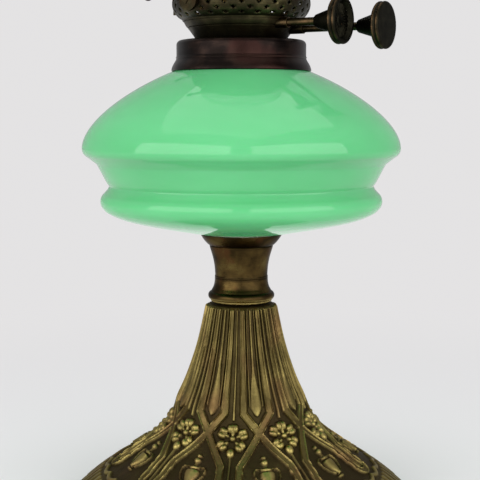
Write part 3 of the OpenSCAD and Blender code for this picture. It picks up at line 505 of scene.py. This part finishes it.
def strap(distance, half):
    """A flat strap with a thin raised bead along each edge."""
    bead = lump((distance - half + BEAD_HALF) / BEAD_HALF, 1.6)
    return np.maximum(ridge(distance, half, 0.85), bead)


def to_path(x, y, path):
    """Distance from points to a line through the path's points."""
    best = np.full(np.shape(x), 1e9)
    for (ax, ay), (bx, by) in zip(path, path[1:]):
        dx, dy = bx - ax, by - ay
        t = np.clip(((x - ax) * dx + (y - ay) * dy) / (dx * dx + dy * dy), 0, 1)
        best = np.minimum(best, np.hypot(x - ax - t * dx, y - ay - t * dy))
    return best


def below_seat(s):
    """0 under the turned ring's seat, 1 from where the stem's ribs have their full height."""
    return smooth((s - s.min() - SEAT_END) / SEAT_FADE)


def stem_relief(u, across, r, s):
    """Ribs of the stem: a rib on the bay's axis, a thin one to each side, and the tongue between two bays."""
    from_thin = np.abs(np.abs(across) - np.radians(14.0) * r)
    thin = lump(from_thin / (0.0185 * r), 1.15) * smooth((-2.5 - s) / 1.5)
    middle = lump(np.abs(across) / (0.0235 * r), 1.25) * smooth((4.2 - s) / 1.0)
    tongue_end = 1.6
    swell = smooth((s + 27) / 22)
    half = np.radians(1.7 + 3.8 * swell) * r * np.sqrt(np.clip((tongue_end - s) / 4.2, 0, 1))
    off = np.radians(BAY / 2 - np.abs(u)) * r
    tongue = lump(off / np.maximum(half, 1e-3), 1.35) * (s < tongue_end)
    return np.maximum.reduce([thin, middle, tongue]) * below_seat(s)


def strap_relief(across, r, s, at):
    """Bands of the stem bend outwards, cross between the bays and join in loops round the flowers' stalks."""
    straight, turn = at(51.0), at(67.5) - LOOP_R
    on_stem = np.radians(8.3)
    off = np.abs(across)
    path = [(on_stem * np.interp(q, s[:, 0], r[:, 0]), q) for q in (-60, -48, -36, -26, -18, -11, -5, 0.2)]
    path += [(np.radians(BAY / 2) * CROSS_R, at(CROSS_R)), (LOOP_R, straight), (LOOP_R, turn)]
    half = np.minimum(BAND_HALF, 0.062 * r)
    made = strap(to_path(off, s, path), half) * (s <= turn) * below_seat(s)
    round_end = strap(np.abs(np.hypot(off, s - turn) - LOOP_R), BAND_HALF) * (s > turn)
    return np.maximum(made, round_end)


def flower_relief(across, s, at):
    """Five twin-lobed petals round a bead, with a bud and its stalk below."""
    middle, stalk_end = at(39.5), at(65.0)
    x, y = across, middle - s
    made = lump(np.hypot(x, y) / 1.7, 2.1)
    for angle, reach in ((92, 5.0), (22, 5.7), (153, 6.0), (-46, 5.9), (217, 6.6)):
        a = math.radians(angle)
        out = x * math.cos(a) + y * math.sin(a) - reach
        side = np.abs(-x * math.sin(a) + y * math.cos(a))
        lobe = lump(np.hypot((side - 1.35) / 1.75, out / 2.5), 2.5)
        under = lump(np.hypot(side / 2.9, out / 2.6), 1.7)
        root = lump(np.hypot(side / 1.1, (out + 2.6) / 1.7), 1.5)
        made = np.maximum.reduce([made, lobe, under, root])
    bud = lump(np.hypot((x + 0.6) / 2.3, (y + 7.9) / 2.8), 2.4)
    lean = -0.6 * np.clip((stalk_end - s) / (stalk_end - middle - 8), 0, 1)
    stalk = lump(np.abs(x - lean) / 0.75, 1.05) * ((s > middle + 9) & (s < stalk_end))
    return np.maximum.reduce([made, bud, stalk])


def urn_relief(off, s, at):
    """A lidded urn with two thin handles, on the axis where the straps cross."""
    x, y = np.abs(off), s - at(47.0)
    beads = np.maximum(lump(np.hypot(x / 1.5, y / 1.3), 1.4), lump(np.hypot(x / 2.0, (y - 2.8) / 1.7), 1.8))
    neck = ridge(x, 0.9, 0.9) * ((y > 3) & (y < 8))
    lid = lump(np.hypot(x / 3.0, (y - 7.2) / 1.1), 1.7)
    half = np.interp(y, [8.6, 9.6, 11.5, 14.5, 17.6, 18.6], [3.4, 4.1, 4.0, 2.9, 1.2, 1.0])
    body = lump(x / half, 2.0) * smooth((y - 8.4) / 0.7) * smooth((18.9 - y) / 0.6)
    foot = lump(np.hypot(x / 2.6, (y - 19.6) / 1.0), 1.5)
    handle = to_path(x, y, [(2.4, 6.6), (5.4, 6.8), (6.5, 8.3), (6.4, 11.5), (4.8, 15.0), (2.0, 17.6)])
    return np.maximum.reduce([beads, neck, lid, body, foot, lump(handle / 0.55, 1.15)])


def border_relief(u, r):
    """Scalloped ridge, short radial reeds and the plain rim."""
    scallop_turn = 10
    scallop = 70.6 + 1.7 * np.abs(np.sin(np.radians(u * 180 / scallop_turn)))
    ring = lump(np.abs(r - scallop) / 1.2, 1.45)
    phase = (u / (BAY / REEDS)) % 1 - 0.5
    reeds = lump(phase / 0.46, 1.35) * smooth((r - 74) / 1.4) * smooth((87.6 - r) / 1.2)
    rim = RELIEF * smooth((r - 88.3) / 0.8)
    bed = 0.35 * smooth((r - 72) / 1.5)
    return np.maximum.reduce([ring, reeds, rim, bed])


def foot_casting():
    """Cast foot: the relief stands on its outline, and its underside is hollow round the ballast."""
    r, z, s = foot_line()
    columns = BAYS * COLUMNS_PER_BAY
    turn = np.arange(columns) * 360 / columns
    u = ((turn + BAY / 2) % BAY - BAY / 2)[None, :] + 0 * r[:, None]
    radius, down = r[:, None] + 0 * u, s[:, None] + 0 * u
    across, off = np.radians(u) * radius, np.radians(BAY / 2 - np.abs(u)) * radius

    def at(value):
        """Distance from the flare, along the outline, at which its radius has this value."""
        return float(np.interp(value, r, s))

    height = np.maximum.reduce([
        stem_relief(u, across, radius, down), strap_relief(across, radius, down, at),
        flower_relief(across, down, at), urn_relief(off, down, at), border_relief(u, radius)])
    slope_r, slope_z = np.gradient(r, s), np.gradient(z, s)
    lift = height - RELIEF
    out_r = radius - slope_z[:, None] * lift
    out_z = np.minimum(z[:, None] + slope_r[:, None] * lift, z[0])
    rim_r, base = high("foot_pad")[0] + RIM_PAST_PAD, low("foot_casting")[2]
    inner_top = z[0] - 5
    hole = high("tie_rod")[0] + 0.3
    ballast_r, ballast_top = high("ballast_disc")[0], high("ballast_disc")[2]
    under = np.array(
        [(rim_r, base + 2.2), (rim_r, base + 0.8), (rim_r - 0.8, base), (rim_r - 5, base),
         (ballast_r + 3.2, ballast_top - 3.2), (ballast_r + 0.4, ballast_top - 1),
         (ballast_r + 0.4, ballast_top), (ballast_r - 5, ballast_top)]
        + [(np.interp(q, s, r) - 3.0, np.interp(q, s, z) - 3.9) for q in (at(66), at(55), at(42))]
        + [(np.interp(q, s, r) - 4.3, min(np.interp(q, s, z), inner_top)) for q in (-8, -26, -46)]
        + [(hole, inner_top), (hole, z[0])])
    angle = np.radians(turn + FLOWER_ANGLE)
    outside = np.stack([out_r * np.cos(angle), out_r * np.sin(angle), out_z], -1)
    rings = np.vstack([outside, spun_at(under, angle)])
    wear_and_painted_light = np.zeros(rings.shape[:2])
    on_stem = smooth((4 - s) / 8)[:, None]
    rubbed_and_painted_highlight = 0.9 * np.clip(height / 1.4, 0, 1)
    wear_and_painted_light[:len(r)] = rubbed_and_painted_highlight * (1 - 0.45 * on_stem) + 0.20 * on_stem
    piece("foot", ring_mesh("foot", rings, wear_and_painted_light), "lamp_base", "cast_brass", CAST, "foot_casting")


# ---------------------------------------------------------------- font

def font():
    """Blown glass font: rounded shoulder, waist and lower swelling."""
    base, top, r_max = low("font")[2], high("font")[2], high("font")[0]
    shoulder = top - 12
    middle = shoulder - 39.7
    neck_r, waist_r, bead_r, wall = 29.6, 68.4, 73.0, 3.4
    waist_z, bead_z = base + 24.9, base + 17
    cap_r = high("font_cap")[0]

    def side(d):
        """The glass's side, at a depth d under its outer face."""
        return outline(
            (neck_r - d, shoulder + 1.5),
            bezier([(neck_r + 4.9 - d * 0.6, shoulder - d),
                    (0.5 * neck_r + 0.5 * r_max + 3.8 - d * 0.6, shoulder - 10 - d),
                    (r_max - d, middle + 13), (r_max - d, middle)], 40),
            arc(r_max - 4.5 - d, middle, 4.5, -6, -60, 10),
            bezier([(r_max - 7.2 - d, middle - 7.6), (r_max - 9.6 - d, middle - 11.5),
                    (waist_r + 2 - d, waist_z + 2.4), (waist_r - d, waist_z)], 12),
            (waist_r + 0.7 - d, waist_z - 1.6),
            arc(bead_r - 5.3 - d, bead_z, 5.3, 52, -38, 16))

    outer = outline((neck_r, top), side(0),
                    bezier([(bead_r - 2.3, base + 12.3), (bead_r - 9, base + 7.1),
                            (bead_r - 22, base + 5.4), (cap_r + 8, base + 0.8)], 20),
                    (cap_r + 0.6, base), (0, base))
    inner = outline((neck_r - wall, top), side(wall),
                    (bead_r - 8, base + 11.3), (bead_r - 18, base + 9.2),
                    (cap_r + 10, base + wall + 1.6), (0, base + wall))
    turned("glass_font", outline(outer, inner[::-1]), "lamp_base", "opal_glass", GREEN_GLASS, "font",
           columns=192, soft=0.5)


# ---------------------------------------------------------------- turned neck

def neck():
    """Beaded ring on the casting, and the flared cup that carries the font."""
    foot, top = low("neck_ring")[2], high("neck_ring")[2]
    r_max, waist, bore = high("neck_ring")[1], 13.7, high("tie_rod")[0] + 0.3
    half = 2.3
    ring = outline((bore, foot), (r_max - 1.6, foot), (r_max - 1.3, foot + 0.7),
                   arc(r_max - half, foot + 3.1, half, -60, 70, 20), (r_max - 1.9, foot + 6),
                   bezier([(r_max - 2.1, foot + 6.4), (r_max - 3.2, foot + 8), (waist + 0.3, foot + 10.1),
                           (waist + 0.2, top - 0.8)], 16),
                   (waist + 0.2, top), (bore, top))
    # Painted light on the ring: a painted highlight on the bead's lower half, painted shade on its upper half
    # and in the cove above it, and a painted shadow line along its top where the cup sits.
    turned("neck_ring", ring, "lamp_base", "turned_brass", TURNED, "neck_ring", soft=0.2,
           worn_and_painted_light=lambda r, z: 1.1 * near_height(foot + 1.2, z, 1.3) * (r > r_max - 3)
           - 0.6 * near_height(foot + 4.6, z, 1.2) - 0.3 * near_height(foot + 8.5, z, 3)
           - 0.9 * near_height(top, z, 0.7))
    lip, lip_r = high("neck_cup")[2], high("neck_cup")[1]
    groove, cap_r, cap = lip - 5.9, high("font_cap")[1], lip - 2.4
    side = bezier([(waist, top + 1.2), (waist + 0.2, top + 9.1), (waist + 1.8, top + 12.3),
                   (lip_r - 4.8, groove - 0.4)], 20)
    flare = bezier([(lip_r - 4.2, groove + 0.4), (lip_r - 2.6, groove + 1.8), (lip_r - 1, groove + 3.8),
                    (lip_r, lip)], 14)
    cup = outline((waist + 0.2, top), (waist + 0.2, top + 0.8), side, (lip_r - 5.1, groove),
                  (lip_r - 4.4, groove + 0.3), flare,
                  (cap_r + 0.2, lip), (cap_r + 0.2, cap), (cap_r - 2.4, cap),
                  (lip_r - 6.4, groove), (waist + 0.8, groove - 2.6), (waist - 1.6, cap - 12),
                  (waist - 1.6, top + 3), (bore, top + 3), (bore, top))
    # Painted shade on the cup: darker in its groove, round the lip under the font, and along the seam with
    # the ring.
    turned("neck_cup", cup, "lamp_base", "turned_brass", TURNED, "neck_cup", soft=0.2,
           worn_and_painted_light=lambda r, z: -0.4 * near_height(groove, z, 1.2) - 0.5 * near_height(lip, z, 2.0)
           - 0.9 * near_height(top + 0.4, z, 0.7))


# ---------------------------------------------------------------- collar and burner cup

MOUTH_R, SIDE_R = 22.4, 33.3     # the collar's mouth and its band
SHEET = 0.9                      # sheet of the burner's cup


def collar():
    """Collar cemented on the font's neck: rounded top, band, groove and flared skirt."""
    foot, top, foot_r = low("collar")[2], high("collar")[2], high("collar")[1]
    corner, sheet = 2.4, 1.0
    outer = outline((MOUTH_R, top), (SIDE_R - 9, top),
                    arc(SIDE_R - corner, top - corner - 0.3, corner, 84, 0, 14),
                    (SIDE_R, foot + 7.6), (SIDE_R + 0.35, foot + 7), (SIDE_R + 0.1, foot + 6.4),
                    bezier([(SIDE_R + 0.3, foot + 5.8), (SIDE_R + 1, foot + 4.4), (foot_r - 0.4, foot + 3),
                            (foot_r, foot + 0.5)], 14), (foot_r - 0.3, foot))
    inner = outline((foot_r - sheet, foot + 0.4), (SIDE_R - sheet + 0.4, foot + 5.4),
                    (SIDE_R - sheet, foot + 6.4), (SIDE_R - sheet, top - corner),
                    (SIDE_R - corner, top - sheet), (MOUTH_R + 1.4, top - sheet),
                    (MOUTH_R + 1.4, top - 8), (MOUTH_R, top - 8))
    # The collar is made lighter along its rounded top edge, and a painted highlight line runs round the step
    # between band and skirt.
    turned("collar", outline(outer, inner), "lamp_base", "collar_brass", COLLAR, "collar",
           columns=192, soft=0.15,
           worn_and_painted_light=lambda r, z: 0.4 * near_height(top - 0.8, z, 0.7) * (r > SIDE_R - 4)
           + 0.4 * near_height(foot + 4.5, z, 2.5))


def burner_cup():
    """Spun cup of the burner: a skirt in the collar's mouth, a rising side and a band round the rim."""
    foot, rim, rim_r = low("burner_cup")[2], high("burner_cup")[2], high("burner_cup")[1]
    base, skirt, start = high("collar")[2] + 0.3, MOUTH_R - 0.08, 23.3
    tall = rim - base
    band, band_r = base + 0.65 * tall, rim_r - 2
    outer = outline((skirt - SHEET, foot), (skirt, foot), (skirt, base),
                    bezier([(start, base), (start + 0.9, base + 0.13 * tall),
                            (band_r - 1.6, base + 0.42 * tall), (band_r, band - 0.3)], 16),
                    (band_r - 0.3, band), (band_r + 0.5, band + 0.2), (rim_r - 0.8, band + 1.2),
                    (rim_r - 0.1, rim - 0.6), (rim_r, rim))
    inner = outline(bezier([(rim_r - 1.25, rim), (rim_r - 3.6, base + 0.65 * tall),
                            (start - 0.3, base + 0.36 * tall), (start - 0.8, base + SHEET)], 14),
                    (skirt - SHEET, base + SHEET))
    turned("burner_cup", outline(outer, inner), "burner", "burner_brass", BURNER, "burner_cup",
           columns=192, soft=0.12)


def bushes():
    """Short tubes that carry the winders' spindles through the cup's side."""
    start, end = low("spindle_bushes")[0], high("spindle_bushes")[0]
    parts = []
    for spindle in ("winder_front_spindle", "winder_back_spindle"):
        bore = (high(spindle)[2] - low(spindle)[2]) / 2 + 0.08
        line = softened(outline((bore, start), (2.6, start), (2.6, end), (bore, end)), 0.15)
        parts.append(along_x(spun(line, 48), centre(spindle)[1], centre(spindle)[2]))
    piece("bushes", joined("bushes", parts), "burner", "spindle_brass", SPINDLE, "spindle_bushes")


# ---------------------------------------------------------------- knobs

RIDGE = 1.0                  # radius of a knob's ridges, in section
EDGE = 4.2                   # thickness of a knob's edge
DISH = 2.4                   # depth of the near knob's dished face
CROWN = 0.1                  # how far the far knob's plain face bulges
RIBS_START, RIBS_END = 0.37, 0.74     # ribs of the near knob's face, as shares of its radius
RIB_HEIGHT = 0.6


def knob(name, body, node, spindle, ribs):
    """A winder's knob: cone-shaped hub, two ridges round its edge and a face, dished if it has ribs."""
    face, radius = high(node)[0], (high(node)[2] - low(node)[2]) / 2
    y, z = centre(node)[1:]
    back, bore = low(node)[0], (high(spindle)[2] - low(spindle)[2]) / 2
    if not ribs:
        face -= CROWN
    edge, dish = face - EDGE, face - DISH
    if ribs:
        middle = outline((radius - 2, face), (radius - 2.6, face - 1), (radius - 3.2, dish),
                         [(radius * share, dish) for share in (0.7, 0.66, 0.62, 0.56, 0.5, 0.44, 0.4)],
                         (3, dish), (2.6, dish + 0.5), (0, dish + 0.7))
    else:
        middle = outline((radius - 2, face), (radius * 0.6, face + CROWN), (radius * 0.3, face + CROWN),
                         (0, face + CROWN))
    points = softened(outline(
        (bore, back), (bore + 0.7, back), (bore + 1.2, back + 0.6), (radius * 0.57, edge),
        arc(radius - RIDGE, edge + RIDGE, RIDGE, -100, 60, 12),
        arc(radius - RIDGE, face - RIDGE, RIDGE, -60, 90, 12),
        middle, (0, edge), (bore, edge)), 0.25)
    columns = 192
    rings = spun(points, columns)
    if ribs:
        a = np.arange(columns) * 2 * np.pi / columns
        share = points[:, 0] / radius
        in_ring = smooth((share - RIBS_START) / 0.05) * smooth((RIBS_END - share) / 0.05)
        in_ring = in_ring * (np.abs(points[:, 1] - dish) < 0.05)
        rings[..., 2] += RIB_HEIGHT * in_ring[:, None] * smooth((np.cos(ribs * a) + 0.35) / 0.7)[None, :]
    on_ridge = np.minimum(np.abs(points[:, 1] - edge - RIDGE), np.abs(points[:, 1] - face + RIDGE))
    wear_and_painted_light = np.exp(-(on_ridge / 0.45) ** 2) * (points[:, 0] > radius - 0.6)
    piece(name, ring_mesh(name, along_x(rings, y, z), wear_and_painted_light[:, None] + np.zeros((1, columns))),
          body, "knob_brass", KNOB, node)


def face_pins():
    """Two small rivets in the near knob's face."""
    node = "winder_front_knob"
    face, (y, z) = high(node)[0] - DISH, centre(node)[1:]
    line = outline((0, 0.75), (0.45, 0.62), (0.6, 0.3), (0.6, -0.4), (0, -0.4)) + (0, face)
    parts = [along_x(spun(line, 16), y + 0.9, z + side * 1.9) for side in (-1, 1)]
    piece("face_pins", joined("face_pins", parts), "winder_front", "spindle_brass", SPINDLE)


# ---------------------------------------------------------------- pierced basket

HOLES, HOLE_ROWS = 26, 6     # holes in a row, and rows
HOLE_TURN = -3.4             # turn of the lowest row from +X, in degrees
CELL = 4                     # grid steps across one cell of the chequer
BULGE = 8.8                  # radius of the basket's bulge, in section
BULGE_LOW, BULGE_HIGH = 65, 55        # how far round its section the bulge goes, down and up, in degrees
FIRST_ROW, ROWS_SPAN = -56, 111       # where the rows of holes start on the bulge and how far they go
BASKET_SHEET = 0.6            # thickness of the basket
LEVER_TURN = 180             # turn of the gallery's lever from +X
SNUFFER_SHAFT = (-7.9, -35.4)         # where the snuffer's shaft goes through the bulge


def basket():
    """Bulging basket of thin brass, pierced in a chequer of four-pointed holes."""
    foot, top = high("burner_cup")[2], high("burner_basket")[2]
    cup_r, shaft_turn = high("burner_cup")[0], math.degrees(math.atan2(SNUFFER_SHAFT[1], SNUFFER_SHAFT[0]))
    mid_r = high("burner_basket")[1] - BULGE
    mid_z = foot + 0.9 + BULGE * math.sin(math.radians(BULGE_LOW))
    columns, steps = 2 * HOLES * CELL, HOLE_ROWS * CELL

    def turn_of(column):
        """Turn from +X at a fractional column, in degrees."""
        return HOLE_TURN + (column / CELL - 0.5) * 180 / HOLES

    def slope_of(row):
        """Angle round the bulge's section at a fractional row, in degrees."""
        return FIRST_ROW + ROWS_SPAN * row / steps

    def place(row, column):
        """Point of the bulge at a fractional row and column."""
        t, turn = math.radians(slope_of(row)), math.radians(turn_of(column))
        r = mid_r + BULGE * math.cos(t)
        return r * math.cos(turn), r * math.sin(turn), mid_z + BULGE * math.sin(t)

    def beside(column, angle, width):
        """Whether a column is within this many degrees of a turn."""
        return abs((turn_of(column) - angle + 180) % 360 - 180) < width

    def pierced(i, j):
        """Whether a cell has a hole: every second one, apart from those by the lever and the shaft."""
        column, t = j + CELL / 2, abs(slope_of(i + CELL / 2))
        plain = beside(column, LEVER_TURN, 9) and t < 42 or beside(column, shaft_turn, 9) and t < 28
        return (i // CELL + j // CELL) % 2 == 0 and not plain

    turn = np.radians(turn_of(np.arange(columns)))
    low_r = mid_r + BULGE * math.cos(math.radians(BULGE_LOW))
    high_r = mid_r + BULGE * math.cos(math.radians(BULGE_HIGH))
    under = np.array([(cup_r - 0.8, foot + 0.05), (cup_r + 0.6, foot + 0.05), (low_r, foot + 0.9)])
    over = np.array([(high_r + 0.9, top - 0.5), (high_r + 0.8, top), (high_r - 0.5, top)])
    bulge = [[place(i, j) for j in range(columns)] for i in range(steps + 1)]
    points = np.vstack([spun_at(under, turn), bulge, spun_at(over, turn)])
    grid = np.arange(points.shape[0] * columns).reshape(-1, columns)
    vertices, faces, first, count = [points.reshape(-1, 3)], [], len(under), grid.size
    for i in range(len(points) - 1):
        row = i - first
        inside = 0 <= row < steps
        for j in range(columns):
            if inside and pierced(row - row % CELL, j - j % CELL):
                continue
            if inside and beside(j + 0.5, LEVER_TURN, 2.7) and steps * 0.25 < row < steps * 0.8:
                continue     # the slot that the gallery's lever passes through
            k = (j + 1) % columns
            faces.append([grid[i, j], grid[i, k], grid[i + 1, k], grid[i + 1, j]])
    edge = range(CELL)
    border = ([(0, n) for n in edge] + [(n, CELL) for n in edge]
              + [(CELL, CELL - n) for n in edge] + [(CELL - n, 0) for n in edge])
    for i in range(0, steps, CELL):
        for j in range(0, columns, CELL):
            if not pierced(i, j):
                continue
            hole = []
            for di, dj in border:
                angle = math.atan2(di - CELL / 2, dj - CELL / 2)
                reach = CELL / 2 * (0.5 + 0.42 * abs(math.cos(2 * angle)) ** 1.5)
                hole.append(place(i + CELL / 2 + reach * math.sin(angle),
                                  j + CELL / 2 + 0.68 * reach * math.cos(angle)))
            ids = list(range(count, count + len(hole)))
            count += len(hole)
            vertices.append(np.array(hole))
            ends = [grid[first + i + di, (j + dj) % columns] for di, dj in border]
            for n in range(len(border)):
                m = (n + 1) % len(border)
                faces.append([ends[n], ends[m], ids[m], ids[n]])
    made = piece("basket", mesh_from("basket", np.vstack(vertices), faces),
                 "burner", "burner_brass", BURNER, "burner_basket")
    shell = made.modifiers.new("sheet", "SOLIDIFY")
    shell.thickness, shell.offset = BASKET_SHEET * MM, -1


# ---------------------------------------------------------------- wicks and pad

def wick(name, body, node):
    """A flat ribbed wick with rounded edges and a scorched top."""
    lo, hi = low(node), high(node)
    half_w, half_t = (hi[0] - lo[0]) / 2, (hi[1] - lo[1]) / 2
    a = np.linspace(0, 2 * np.pi, 48, endpoint=False)
    x = half_w * np.sign(np.cos(a)) * np.abs(np.cos(a)) ** 0.3
    y = half_t * np.sign(np.sin(a)) * np.abs(np.sin(a)) ** 0.45
    z = np.linspace(lo[2], hi[2], 220)[:, None]
    rib_pitch = 1.4
    ribs = 0.95 + 0.05 * np.cos(z * 2 * np.pi / rib_pitch)
    rings = np.stack([x + 0 * z, centre(node)[1] + y * ribs, z + 0 * x], -1)
    faces = ring_faces(len(z), len(a))[:-len(a)]
    faces += [list(range(len(a)))[::-1], list(range(len(a) * (len(z) - 1), len(a) * len(z)))]
    wear_and_painted_light = np.clip((rings[..., 2] - hi[2] + 2.5) / 1.6, 0, 1).reshape(-1)
    piece(name, mesh_from(name, rings.reshape(-1, 3), faces, wear_and_painted_light), body, "cotton", COTTON, node)


def chimney():
    """Blown glass chimney: straight foot, swell over the flames and long tapering top."""
    foot, top, foot_r = low("chimney")[2], high("chimney")[2], 31.7
    swell, top_r, wall = high("chimney")[1], 25, 1.8
    widest = foot + 48
    bulb = bezier([(foot_r, foot + 16), (foot_r + 1, foot + 30), (swell, foot + 28), (swell, widest)], 24)
    taper = bezier([(swell, widest), (swell, foot + 76), (top_r + 6, foot + 90), (top_r + 3, foot + 130)], 30)
    side = outline((foot_r, foot), (foot_r, foot + 14), bulb, taper, (top_r, top))
    turned("glass_chimney", outline(side, side[::-1] - (wall, 0)),
           "chimney", "clear_glass", CLEAR_GLASS, "chimney", columns=128, soft=0.6)


def pad():
    """Felt pad glued under the foot."""
    lo, hi = low("foot_pad"), high("foot_pad")
    turned("felt_pad", outline((0, lo[2]), (hi[0], lo[2]), (hi[0], hi[2]), (0, hi[2])),
           "lamp_base", "baize", BAIZE, "foot_pad", soft=0.5)


# ---------------------------------------------------------------- stage, lights and camera

CAMERA_TURN = 31             # degrees from -Y towards +X
CAMERA_FAR, CAMERA_UP, CAMERA_PITCH = 0.598, 0.208, 6.35
CAMERA_ASIDE = 0.065         # degrees by which the camera looks past the lamp's axis
LENS, SENSOR = 86.25, 36
PANEL_TURN, PANEL_FAR, PANEL_UP = 42, 1.2, 0.48     # each side of the camera, from the axis and up
PANEL_SIZE = (1.68, 0.92)
OVERHEAD_UP, OVERHEAD_SIZE = 1.7, (1.9, 1.9)
BACKGROUND = (0.775, 0.765, 0.77)
FLOOR_FADE = (0.13, 0.62)    # the floor turns into the background between these distances


def around(turn, distance, height):
    """A place at a turn from the front, in metres."""
    a = math.radians(turn)
    return Vector((distance * math.sin(a), -distance * math.cos(a), height))


def panel(name, place, target, width, height, radiance):
    """A soft light that isn't seen itself, but is reflected."""
    light = bpy.data.lights.new(name, "AREA")
    light.shape, light.size, light.size_y = "RECTANGLE", width, height
    light.energy = radiance * math.pi * width * height
    made = bpy.data.objects.new(name, light)
    made.location = place
    made.rotation_mode = "QUATERNION"
    made.rotation_quaternion = (target - place).to_track_quat("-Z", "Y")
    made.visible_camera = made.visible_transmission = False
    bpy.context.scene.collection.objects.link(made)


def by_ray(tree, plain, glossy):
    """A value that is different for reflected rays."""
    path = tree.nodes.new("ShaderNodeLightPath")
    node = tree.nodes.new("ShaderNodeMapRange")
    node.inputs["To Min"].default_value, node.inputs["To Max"].default_value = plain, glossy
    tree.links.new(path.outputs["Is Glossy Ray"], node.inputs["Value"])
    return node.outputs["Result"]


def seen_rays(tree):
    """1 for camera and transmission rays, 0 for the rays that light the scene."""
    path = tree.nodes.new("ShaderNodeLightPath")
    add = tree.nodes.new("ShaderNodeMath")
    add.operation, add.use_clamp = "ADD", True
    tree.links.new(path.outputs["Is Camera Ray"], add.inputs[0])
    tree.links.new(path.outputs["Is Transmission Ray"], add.inputs[1])
    return add.outputs[0]


def mixed(tree, share, first, second):
    """Two shaders mixed, with this share of the second."""
    mix = tree.nodes.new("ShaderNodeMixShader")
    for socket, output in zip(mix.inputs, (share, first, second)):
        tree.links.new(output, socket)
    return mix.outputs[0]


def studio():
    """Two panels beside the camera, one overhead, and a world that fills the shadows."""
    for name, side, radiance in (("left_panel", -1, 2.35), ("right_panel", 1, 2.1)):
        place = around(CAMERA_TURN + side * PANEL_TURN, PANEL_FAR, PANEL_UP)
        panel(name, place, Vector((0, 0, PANEL_UP)), *PANEL_SIZE, radiance)
    panel("overhead", Vector((0, 0, OVERHEAD_UP)), Vector((0, 0, 0)), *OVERHEAD_SIZE, 0.8)
    world = bpy.data.worlds.new("studio")
    bpy.context.scene.world = world
    world.use_nodes = True
    tree = world.node_tree
    fill = tree.nodes["Background"]
    fill.inputs["Color"].default_value = (0.97, 0.98, 1.0, 1)
    tree.links.new(by_ray(tree, 0.62, 0.45), fill.inputs["Strength"])
    shown = tree.nodes.new("ShaderNodeBackground")
    shown.inputs["Color"].default_value = (*BACKGROUND, 1)
    seen = mixed(tree, seen_rays(tree), fill.outputs[0], shown.outputs[0])
    tree.links.new(seen, tree.nodes["World Output"].inputs["Surface"])


def floor():
    """A pale round floor that melts into the background away from the lamp."""
    mesh = bpy.data.meshes.new("floor")
    work = bmesh.new()
    bmesh.ops.create_circle(work, cap_ends=True, segments=96, radius=6)
    work.to_mesh(mesh)
    work.free()
    made = bpy.data.objects.new("floor", mesh)
    bpy.context.scene.collection.objects.link(made)
    material = bpy.data.materials.new("floor")
    material.use_nodes = True
    mesh.materials.append(material)
    tree = material.node_tree
    paper = tree.nodes["Principled BSDF"]
    paper.inputs["Base Color"].default_value = (0.76, 0.755, 0.755, 1)
    paper.inputs["Roughness"].default_value = 0.9
    paper.inputs["Specular IOR Level"].default_value = 0.2
    glow = tree.nodes.new("ShaderNodeEmission")
    glow.inputs["Color"].default_value = (*BACKGROUND, 1)
    place = tree.nodes.new("ShaderNodeNewGeometry")
    length = tree.nodes.new("ShaderNodeVectorMath")
    length.operation = "LENGTH"
    tree.links.new(place.outputs["Position"], length.inputs[0])
    fade = tree.nodes.new("ShaderNodeMapRange")
    fade.interpolation_type = "SMOOTHSTEP"
    fade.inputs["From Min"].default_value, fade.inputs["From Max"].default_value = FLOOR_FADE
    tree.links.new(length.outputs["Value"], fade.inputs["Value"])
    share = tree.nodes.new("ShaderNodeMath")
    share.operation = "MULTIPLY"
    tree.links.new(fade.outputs["Result"], share.inputs[0])
    tree.links.new(by_ray(tree, 1.0, 0.4), share.inputs[1])
    surface = mixed(tree, share.outputs[0], paper.outputs[0], glow.outputs[0])
    tree.links.new(surface, tree.nodes["Material Output"].inputs["Surface"])


def camera():
    """The camera, at the photograph's viewing angle."""
    data = bpy.data.cameras.new("camera")
    data.lens, data.sensor_width, data.clip_start = LENS, SENSOR, 0.01
    made = bpy.data.objects.new("camera", data)
    made.location = around(CAMERA_TURN, CAMERA_FAR, CAMERA_UP)
    made.rotation_euler = (math.radians(90 - CAMERA_PITCH), 0, math.radians(CAMERA_TURN + CAMERA_ASIDE))
    bpy.context.scene.collection.objects.link(made)
    bpy.context.scene.camera = made


dress_cad()
foot_casting()
neck()
font()
collar()
burner_cup()
basket()
bushes()
chimney()
knob("near_knob", "winder_front", "winder_front_knob", "winder_front_spindle", ribs=24)
knob("far_knob", "winder_back", "winder_back_knob", "winder_back_spindle", ribs=0)
face_pins()
wick("front_wick", "wick_front", "wick_front")
wick("back_wick", "wick_back", "wick_back")
pad()
camera()
studio()
floor()
bpy.context.scene.view_settings.view_transform = "Standard"
